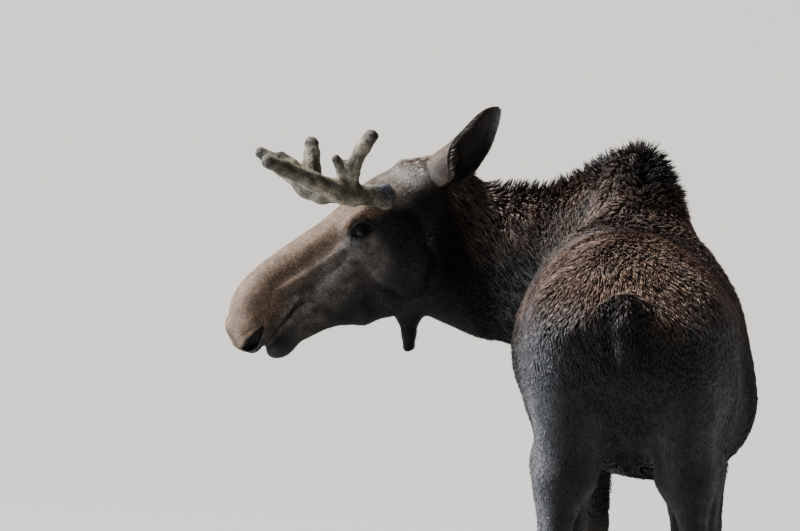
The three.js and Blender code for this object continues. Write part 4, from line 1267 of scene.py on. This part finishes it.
def tuft_mesh(name, tufts, thin, rings):
    """Joined tufts, each a closed blade with three sides that tapers from its root to its tip along a curve,
    with the coat's markings at its root and a small patch of the map. Thin is its height over its half width.
    The tufts' arrays are start, middle, tip, wide, over, lock, less_root_shade, uv and each of the markings."""
    start, middle, tip, wide = (tufts[key] for key in ("start", "middle", "tip", "wide"))
    count = len(start)
    steps = STATIONS[rings]
    along, rows = [], []
    for t in steps:
        centre = (1 - t) ** 2 * start + 2 * t * (1 - t) * middle + t * t * tip
        tangent = unit(2 * (1 - t) * (middle - start) + 2 * t * (tip - middle))
        side = unit(np.cross(tangent, tufts["over"]))
        over = np.cross(side, tangent)
        w, h = (wide * TAPER[t])[:, None], (wide * thin * TAPER[t])[:, None]
        rows += [centre - side * w - over * h * 0.4, centre + side * w - over * h * 0.4, centre + over * h]
        along += [t] * 3
    rows.append(tip)
    along = np.array([along + [1.0]])
    size = 3 * len(steps) + 1
    points = np.stack(rows, 1).reshape(-1, 3)
    faces = [(0, 2, 1)] + band_faces(len(steps), 3)
    last = 3 * (len(steps) - 1)
    faces += [(last + a, last + (a + 1) % 3, size - 1) for a in range(3)]
    sizes = np.array([len(face) for face in faces])
    flat = np.concatenate([np.array(face) for face in faces])
    loops = (flat[None] + size * np.arange(count)[:, None]).ravel()
    mesh = bpy.data.meshes.new(name)
    mesh.vertices.add(len(points))
    mesh.vertices.foreach_set("co", placed(points).astype(np.float32).ravel())
    mesh.loops.add(len(loops))
    mesh.loops.foreach_set("vertex_index", loops.astype(np.int32))
    mesh.polygons.add(len(faces) * count)
    starts = np.concatenate([[0], np.cumsum(sizes)[:-1]])[None] + sizes.sum() * np.arange(count)[:, None]
    mesh.polygons.foreach_set("loop_start", starts.ravel().astype(np.int32))
    mesh.update(calc_edges=True)
    mesh.validate()
    # The place along each tuft, which carries the painted shade at its root.
    give(mesh, "along", towards(along, 1, tufts["less_root_shade"][:, None]).ravel())
    for key in ("lock", *MARKS):
        give(mesh, key, np.repeat(tufts[key], size))
    patch = UV_PATCH * np.array([[0, 0], [1, 0], [0.5, 1]] * len(steps) + [[0.5, 0.5]])
    per_point = (tufts["uv"][:, None] + patch[None]).reshape(-1, 2)
    layer = mesh.uv_layers.new(name="OFBake")
    layer.data.foreach_set("uv", per_point[loops].astype(np.float32).ravel())
    return finished(shown(name, mesh))


def grown(p, n, r, ear, at_ear):
    """Length, half width, lift in degrees and clumping of the tufts at each point, and how many there are
    on a square centimetre."""
    head, low, f = r["head"], r["low"], face_points(r["q"])
    _, y, z = p.T
    out, ahead, up = f.T
    rump = smooth(480, 720, y) * smooth(1430, 1330, z)
    low_body = smooth(1300, 1100, z)
    top = smooth(0.15, 0.7, n[:, 2])
    belly = smooth(-0.3, -0.8, n[:, 2])
    behind_ears = near(p, NAPE_TOP, 190)
    croup = top * smooth(100, 250, y)
    long = 27 + 8 * top + 5 * croup - 7 * low_body * (1 - r["neck"]) - 8 * rump + 6 * belly * (1 - low)
    tuft = {
        "long": long + 14 * behind_ears,
        "wide": 1.4 + 0.15 * top,
        "lift": 12 + 8 * top - 7 * croup + 8 * behind_ears + 4 * lattice(p, 60, 9),
        "clump": 0.5 + 0.25 * top - 0.2 * rump - 0.1 * croup,
        "many": 2.3 + 0.9 * top - 0.4 * low_body,
    }

    def lean(share, **goals):
        for key, goal in goals.items():
            tuft[key] = towards(tuft[key], goal, share)

    lean(np.clip(r["crest"] * 1.2, 0, 1), long=52, lift=72, many=3.8, wide=1.3, clump=0.72)
    lean(low, long=13, wide=1.1, lift=8, many=5.5)
    lean(r["foot"], long=8, wide=0.7, many=8)
    lean(hill(z - CORONET - 8, 20), long=17)
    lean(near(r["q"], CROWN, CROWN_SIZE), long=11, lift=14, many=8)
    lean(np.maximum(r["bell"], r["tail"]), long=26, many=4.2)
    lean(r["bell"], lift=16 + 54 * belly)
    # Face: shortest on the muzzle, longer on the cheek, jaw and forehead.
    cheek = smooth(260, 120, ahead)
    face_long = 6.5 + 7.5 * cheek + 3.5 * smooth(-120, -190, up) - 2.4 * smooth(430, 560, ahead)
    lean(head, long=face_long, wide=0.42 + 0.3 * cheek, many=17 - 7 * cheek, lift=13 + 3 * cheek)
    lean(np.maximum(head, low), clump=0.22)
    long, wide, lift, clump, many = tuft.values()
    # No hair grows in the eyes, the nostrils and between the lips.
    bare_eye = smooth(5.0, 2.0, lid_gap(f)) * (out > 50)
    d, place = near_path(f, NOSTRIL)
    nostril = d < 1.05 * nostril_wide(place)
    above, past = mouth_gap(f)
    lips = hill(above, 3.2) * smooth(-6, 4, past)
    many = many * (1 - np.clip(np.max([bare_eye, nostril, lips], 0) * head, 0, 1))
    # Ears: short outside, and inside only a fringe that is longest along the front rim.
    along_ear, inner, rim = at_ear.T
    on_it, inside = ear >= 0, (ear >= 0) & (inner > 0.5)
    outside = on_it & ~inside
    fringe = smooth(0.35, 0.9, np.abs(rim)) * smooth(0.98, 0.7, along_ear) * (1 - 0.45 * (rim > 0))
    long = np.where(outside, 7.5, np.where(inside, 8 + 15 * fringe, long))
    wide = np.where(on_it, 0.42, wide)
    lift = np.where(outside, 11, np.where(inside, 16 + 22 * fringe, lift))
    many = np.where(outside, 14.0, np.where(inside, 5.0 + 6 * fringe, many))
    many = np.where(on_it, many * smooth(-0.1, -0.02, along_ear), many)
    clump = np.where(on_it, 0.25, clump)
    return long, wide, lift, clump, many


COAT_TRIANGLES, PIECE_TRIANGLES = 1370000, 190000  # the most in the whole coat and in one piece of it
LEADERS, LOCK_REACH = 0.16, 26.0  # share of tufts that others lean to, and from how far
TUFT_THIN, VELVET_THIN = 0.5, 0.6  # a tuft's height over its half width, in the coat and on the velvet
RINGS = {"bristles": 3, "coat": 2, "fur": 1}  # cross sections of a tuft of each kind


def triangles_of(rings):
    return 6 * rings - 2


def kind_of(stiff, long):
    """Which kind of tuft grows where: 0 bristles, 1 coat, 2 fur."""
    return np.where(stiff > 0.35, 0, np.where(long > 16, 1, 2))


def root_places(mesh, loops, shares):
    """The place of each root in the mesh's map."""
    places = read(mesh.uv_layers["OFBake"].data, "uv", 2)
    return (places[loops] * shares[..., None]).sum(1)


unwrap(skin)
skin_regions = regions(skin_points)
long, _, _, _, density = grown(skin_points, skin_normals, skin_regions, on_ear, at_ear)
# Painted shade: the skin between the tufts is darkened, most under long hair, where the coat shades it.
give(skin.data, "shade", 0.40 + 0.32 * smooth(20, 9, long))  # the skin is darker under long hair
costs = np.array([triangles_of(rings) for rings in RINGS.values()])[kind_of(skin_regions["crest"], long)]
corners, loops, shares = roots_on(skin.data, density, costs, COAT_TRIANGLES)


def shared(values):
    """A value of the skin's points at each root."""
    return (values[corners] * shares[..., None]).sum(1)


root_uv = root_places(skin.data, loops, shares)
root, normal = shared(skin_points), unit(shared(skin_normals))
ear_here, at_ear_here = on_ear[corners[:, 0]], shared(at_ear)
r = regions(root)
long, wide, lift, clump, _ = grown(root, normal, r, ear_here, at_ear_here)
kinds = kind_of(r["crest"], long)

# The coat lies along the skin, turned a little by swirls, and each tuft rises by its lift and curves over.
way = laid_flat(lie_of(root, normal, r, ear_here), normal)
swirl = 0.38 * lattice(root, 110, 11) + 0.22 * lattice(root, 38, 13) + rng.normal(0, 0.14, len(root))
swirl = swirl * (1 - 0.55 * np.maximum(r["head"], r["low"]))
across = np.cross(normal, way)
way = way * np.cos(swirl)[:, None] + across * np.sin(swirl)[:, None]
long = long * rng.uniform(0.72 - 0.2 * r["crest"], 1.18, len(root)) * (1 + 0.16 * lattice(root, 70, 15))
rise = np.radians(np.clip(lift + rng.normal(0, 4.5, len(root)), 3, 84))
middle = way * np.cos(rise * 0.75)[:, None] + normal * np.sin(rise * 1.25)[:, None] * 0.9
middle = root + middle * (long * 0.5)[:, None]
tip = root + (way * np.cos(rise * 0.9)[:, None] + normal * np.sin(rise * 0.9)[:, None]) * long[:, None]

# Neighbouring tufts draw together at their tips into wet locks, each round one leader.
leaders = np.flatnonzero(rng.random(len(root)) < LEADERS)
tree = KDTree(len(leaders))
for i, leader in enumerate(leaders):
    tree.insert(root[leader], i)
tree.balance()
chief = leaders[[tree.find(p)[1] for p in root]]
pull = clump[:, None] * rng.uniform(0.6, 1.1, (len(root), 1))
apart = np.linalg.norm(root[chief] - root, axis=1)[:, None]
alike = ((normal * normal[chief]).sum(1) > 0.6) & (ear_here == ear_here[chief])
pull = pull * (apart < LOCK_REACH) * alike[:, None]
tip = tip + (tip[chief] - tip) * pull
middle = middle + (middle[chief] - middle) * pull * 0.35
sunk = (0.3 + 1.2 * smooth(9, 24, long))[:, None]  # how deep each tuft is rooted
tufts = {
    "start": root - normal * sunk, "middle": middle, "tip": tip, "wide": wide, "over": normal, "uv": root_uv,
    # Short hair gets less of the painted shade at its root.
    "less_root_shade": 0.5 * smooth(20, 8, long),  # short hair is less dark at its root
    "lock": rng.random(len(root)) * 0.6 + 0.4 * rng.random(len(root))[chief],
    **markings(root, normal, ear_here, at_ear_here),
}
coat_pieces = []
for which, (kind, rings) in enumerate(RINGS.items()):
    chosen = np.flatnonzero(kinds == which)
    order = chosen[np.argsort(root[chosen, 1], kind="stable")]
    pieces = max(1, math.ceil(len(order) * triangles_of(rings) / PIECE_TRIANGLES))
    for number, some in enumerate(np.array_split(order, pieces)):
        name = f"{kind}_{number + 1}" if pieces > 1 else kind
        chosen_tufts = {key: values[some] for key, values in tufts.items()}
        coat_pieces.append(tuft_mesh(name, chosen_tufts, TUFT_THIN, rings))

# Short pale hair on the velvet of the antlers.
velvet_pieces = []
for made in antlers:
    unwrap(made)
    mesh = made.data
    p, n = points_of(mesh), normals_of(mesh)
    wet = read(mesh.attributes["wet"].data, "value", 1)[:, 0]
    corners, loops, shares = roots_on(mesh, VELVET_HAIRS * (1 - 0.9 * wet))
    root, normal = shared(p), unit(shared(n))
    way = laid_flat(head_way([0, -0.4, 1]) + 0.8 * rng.normal(size=(len(root), 3)), normal)
    long = rng.uniform(2.0, 3.9, (len(root), 1))
    middle, tip = root + (normal * 0.8 + way * 0.35) * long * 0.5, root + (normal * 0.62 + way * 0.78) * long
    tufts = {
        "start": root - normal, "middle": middle, "tip": tip, "over": normal,
        "wide": np.full(len(root), 0.30), "less_root_shade": np.full(len(root), 0.4), "lock": rng.random(len(root)),
        "uv": root_places(mesh, loops, shares), **{mark: np.zeros(len(root)) for mark in MARKS},
    }
    velvet_pieces.append(tuft_mesh(made.name + "_hair", tufts, VELVET_THIN, 1))

# ---------- materials
class Tree:
    """A material of its own nodes, with short ways to make and join them."""

    def __init__(self, name, color, roughness):
        self.made = bpy.data.materials.new(name)
        self.made.use_nodes = True
        self.nodes, self.links = self.made.node_tree.nodes, self.made.node_tree.links
        self.put("Base Color", (*color, 1))
        self.put("Roughness", roughness)

    def put(self, socket, value):
        """Sets a socket, or the shader's socket of a name, to a value or to another node's output."""
        if isinstance(socket, str):
            socket = self.nodes["Principled BSDF"].inputs[socket]
        if isinstance(value, (int, float, tuple)):
            socket.default_value = value
        else:
            self.links.new(value, socket)

    def node(self, kind, inputs, **settings):
        """A new node with its settings, and its inputs set or joined: its outputs."""
        made = self.nodes.new("ShaderNode" + kind)
        for key, value in settings.items():
            setattr(made, key, value)
        for key, value in inputs.items():
            self.put(made.inputs[key], value)
        return made.outputs

    def attribute(self, name):
        return self.node("Attribute", {}, attribute_name=name)["Fac"]

    def mix(self, share, a, b, kind="MIX"):
        return self.node("Mix", {0: share, 6: a, 7: b}, data_type="RGBA", blend_type=kind)[2]

    def times(self, a, b):
        return self.mix(1.0, a, b, "MULTIPLY")

    def maths(self, kind, *values):
        return self.node("Math", dict(enumerate(values)), operation=kind)[0]

    def noise(self, scale, detail=2.0, rough=0.5):
        place = self.node("TexCoord", {})["Object"]
        inputs = {"Vector": place, "Scale": scale, "Detail": detail, "Roughness": rough}
        return self.node("TexNoise", inputs)["Fac"]

    def span(self, value, low, high, to_low=0.0, to_high=1.0):
        ends = {"From Min": low, "From Max": high, "To Min": to_low, "To Max": to_high}
        return self.node("MapRange", {"Value": value, **ends})["Result"]

    def bump(self, height, strength, distance):
        inputs = {"Height": height, "Strength": strength, "Distance": distance}
        self.put("Normal", self.node("Bump", inputs)["Normal"])


BASE = (0.019, 0.016, 0.014, 1)
VELVET_HAIR = (0.27, 0.25, 0.215, 1)
COLOURS = {
    "red": (0.150, 0.095, 0.070, 1),
    # grey: mostly a painted blue-grey sheen of the thighs and flanks
    "grey": (0.100, 0.098, 0.106, 1),
    "pale": (0.140, 0.118, 0.100, 1),
    # frost: grizzled hair, and the colour of the painted highlights
    "frost": (0.200, 0.172, 0.152, 1),
    "tan": (0.205, 0.134, 0.088, 1),
    # white: also painted light on the forehead
    "white": (0.55, 0.53, 0.50, 1),
    # black: also the painted shade on the back, on the rump and round the eyes
    "black": (0.011, 0.010, 0.011, 1),
}


def hide_colour(tree):
    """The coat's colour from its markings, with the mottling of its hair."""
    colour = BASE
    for mark in MARKS:
        colour = tree.mix(tree.attribute(mark), colour, COLOURS[mark])
    mottle = tree.span(tree.noise(34, 3, 0.6), 0.3, 0.7, 0.72, 1.25)
    grains = tree.span(tree.noise(240, 3, 0.75), 0.36, 0.64, 0.35, 1.6)
    return tree.times(tree.times(colour, mottle), grains)


def hair_material(name, colour_of, roughness, root_shade, tip_shade):
    tree = Tree(name, BASE[:3], roughness)
    # Painted shade: each tuft is darker towards its root, where the coat round it shades it, and lighter
    # towards its tip.
    shade = tree.span(tree.attribute("along"), 0.0, 0.75, root_shade, tip_shade)
    own = tree.span(tree.attribute("lock"), 0.0, 1.0, 0.5, 1.55)
    colour = tree.times(colour_of(tree), tree.maths("MULTIPLY", shade, own))
    tree.put("Base Color", colour)
    tree.put("Specular IOR Level", 0.42)
    return tree.made


def skin_material():
    tree = Tree("hide", BASE[:3], 0.7)
    # The skin's colour is darkened by its painted shade.
    tree.put("Base Color", tree.times(hide_colour(tree), tree.attribute("shade")))
    tree.bump(tree.noise(620, 3, 0.6), 0.6, 0.0014)
    return tree.made


def velvet_material():
    """Mottled grey-brown velvet, darker at its ends and with painted shade in its furrows, with a wet
    blue-grey patch.
    """
    tree = Tree("velvet", (0.2, 0.17, 0.14), 0.8)
    grain = tree.span(tree.noise(300, 4, 0.7), 0.32, 0.68)
    blotch = tree.span(tree.noise(52, 3, 0.6), 0.35, 0.65)
    colour = tree.mix(grain, (0.032, 0.030, 0.025, 1), (0.34, 0.32, 0.26, 1))
    colour = tree.times(colour, tree.mix(blotch, (0.62, 0.60, 0.56, 1), (1.15, 1.12, 1.08, 1)))
    # Painted shade: the velvet darker where its surface sinks into furrows, lighter on its lumps.
    depth = tree.mix(tree.attribute("lump"), (0.45, 0.43, 0.42, 1), (1.3, 1.28, 1.25, 1))
    colour = tree.times(colour, depth)
    specks = tree.span(tree.noise(240, 3, 0.7), 0.47, 0.55)
    dark_end = tree.maths("MULTIPLY", tree.attribute("ends"), tree.span(specks, 0, 1, 0.85, 0.25))
    colour = tree.mix(dark_end, colour, (0.022, 0.021, 0.022, 1))
    wet = tree.attribute("wet")
    flakes = tree.span(tree.noise(150, 4, 0.75), 0.49, 0.56)
    colour = tree.mix(wet, colour, tree.mix(flakes, (0.017, 0.021, 0.030, 1), (0.20, 0.21, 0.23, 1)))
    tree.put("Base Color", colour)
    tree.put("Roughness", tree.span(wet, 0, 1, 0.85, 0.3))
    tree.bump(tree.noise(380, 4, 0.7), 0.7, 0.0016)
    return tree.made


def horn_material():
    """Dark horn with rings of growth, streaks down the wall and paler worn edges."""
    tree = Tree("horn", (0.03, 0.026, 0.022), 0.42)
    below = tree.attribute("below")
    wave = tree.maths("SINE", tree.maths("MULTIPLY", below, RING_STEP))
    rings = tree.span(tree.maths("ADD", tree.maths("MULTIPLY", wave, 0.3), tree.noise(70, 4, 0.6)), 0.1, 1.0)
    colour = tree.mix(rings, (0.017, 0.015, 0.014, 1), (0.050, 0.042, 0.034, 1))
    worn = tree.maths("MULTIPLY", tree.span(below, 34, 64), tree.span(tree.noise(95, 4, 0.7), 0.4, 0.62))
    colour = tree.mix(worn, colour, (0.16, 0.135, 0.105, 1))
    tree.put("Base Color", colour)
    tree.put("Roughness", tree.span(tree.noise(180, 3), 0.3, 0.7, 0.32, 0.6))
    tree.bump(tree.maths("ADD", rings, tree.noise(420, 3)), 0.3, 0.0006)
    return tree.made


def eye_material():
    """Dark brown iris with fine spokes and a wide black pupil, under a wet clear cornea."""
    tree = Tree("eye", (0.02, 0.012, 0.008), 0.06)
    spokes = tree.maths("SINE", tree.maths("MULTIPLY", tree.attribute("fibre"), 46.0))
    fibres = tree.span(tree.maths("ADD", spokes, tree.noise(900, 3)), -1.0, 1.8)
    iris = tree.mix(fibres, (0.007, 0.004, 0.003, 1), (0.019, 0.010, 0.006, 1))
    ring = tree.span(tree.attribute("iris"), 0.82, 1.02)
    colour = tree.mix(ring, iris, (0.010, 0.007, 0.006, 1))
    white = tree.span(tree.attribute("iris"), 1.08, 1.35)
    colour = tree.mix(white, colour, (0.018, 0.013, 0.011, 1))
    colour = tree.mix(tree.span(tree.attribute("pupil"), 1.08, 0.92), colour, (0.003, 0.003, 0.004, 1))
    tree.put("Base Color", colour)
    tree.put("Specular IOR Level", 0.12)
    tree.put("Coat Weight", 0.3)
    tree.put("Coat Roughness", 0.03)
    return tree.made


for pieces, finish in (
    ([skin], skin_material()),
    (coat_pieces, hair_material("hair", hide_colour, 0.40, 0.3, 1.5)),
    (velvet_pieces, hair_material("velvet_hair", lambda tree: VELVET_HAIR, 0.6, 0.6, 1.25)),
    (antlers, velvet_material()),
    (horn_pieces, horn_material()),
    (eyes, eye_material()),
):
    for piece in pieces:
        piece.data.materials.append(finish)

# ---------- floor, light, camera
def aimed(name, data, place, way):
    """An object at a place in metres, facing a way."""
    obj = shown(name, data)
    obj.location = place
    obj.rotation_euler = Vector(way).to_track_quat("-Z", "Y").to_euler()
    return obj


LENS, SENSOR, FARTHEST = 286.0, 36.0, 100.0  # millimetres, millimetres, metres
AWAY = 14.5  # metres from the camera to where it aims
RISE, BEARING = math.radians(4.0), math.radians(4.5)  # above the aim, and round from straight behind
AIM = np.array([510.0, 914.0, 1493.0])
level = math.cos(RISE)
gaze = np.array([math.sin(BEARING) * level, -math.cos(BEARING) * level, -math.sin(RISE)])
camera_data = bpy.data.cameras.new("camera")
camera_data.lens, camera_data.sensor_width, camera_data.clip_end = LENS, SENSOR, FARTHEST
bpy.context.scene.camera = aimed("camera", camera_data, placed(AIM) - gaze * AWAY, gaze)

LAMP_SIZE = 4.0
SUN_WIDTH = math.radians(7)
# name, place, target, power, colour
LAMPS = (
    ("sky", (7.5, 1.2, 2.6), (0, 0.3, 1.1), 950, (0.80, 0.89, 1.0)),
    ("fill", (-3.5, 6.5, 3.0), (0, 0, 1.0), 15, (0.85, 0.92, 1.0)),
)
for name, place, target, power, color in LAMPS:
    lamp = bpy.data.lights.new(name, "AREA")
    lamp.shape, lamp.size, lamp.energy, lamp.color = "DISK", LAMP_SIZE, power, color
    aimed(name, lamp, place, Vector(target) - Vector(place))
sun = bpy.data.lights.new("key", "SUN")
sun.energy, sun.angle, sun.color = 8.5, SUN_WIDTH, (1.0, 0.96, 0.90)
aimed("key", sun, (0, 0, 0), (-0.52, 0.17, -0.84))
world = bpy.data.worlds.new("studio")
world.use_nodes = True
surroundings = world.node_tree.nodes["Background"].inputs
surroundings["Color"].default_value, surroundings["Strength"].default_value = (0.78, 0.84, 0.92, 1), 0.26
bpy.context.scene.world = world
bpy.context.scene.view_settings.look = "AgX - Medium High Contrast"

FLOOR = 400.0  # half the side, in metres
floor_data = bpy.data.meshes.new("floor")
corners = [(-FLOOR, -FLOOR, 0), (FLOOR, -FLOOR, 0), (FLOOR, FLOOR, 0), (-FLOOR, FLOOR, 0)]
floor_data.from_pydata(corners, [], [(0, 1, 2, 3)])
floor = shown("floor", floor_data)
floor_data.materials.append(Tree("floor", (0.36, 0.36, 0.355), 0.9).made)
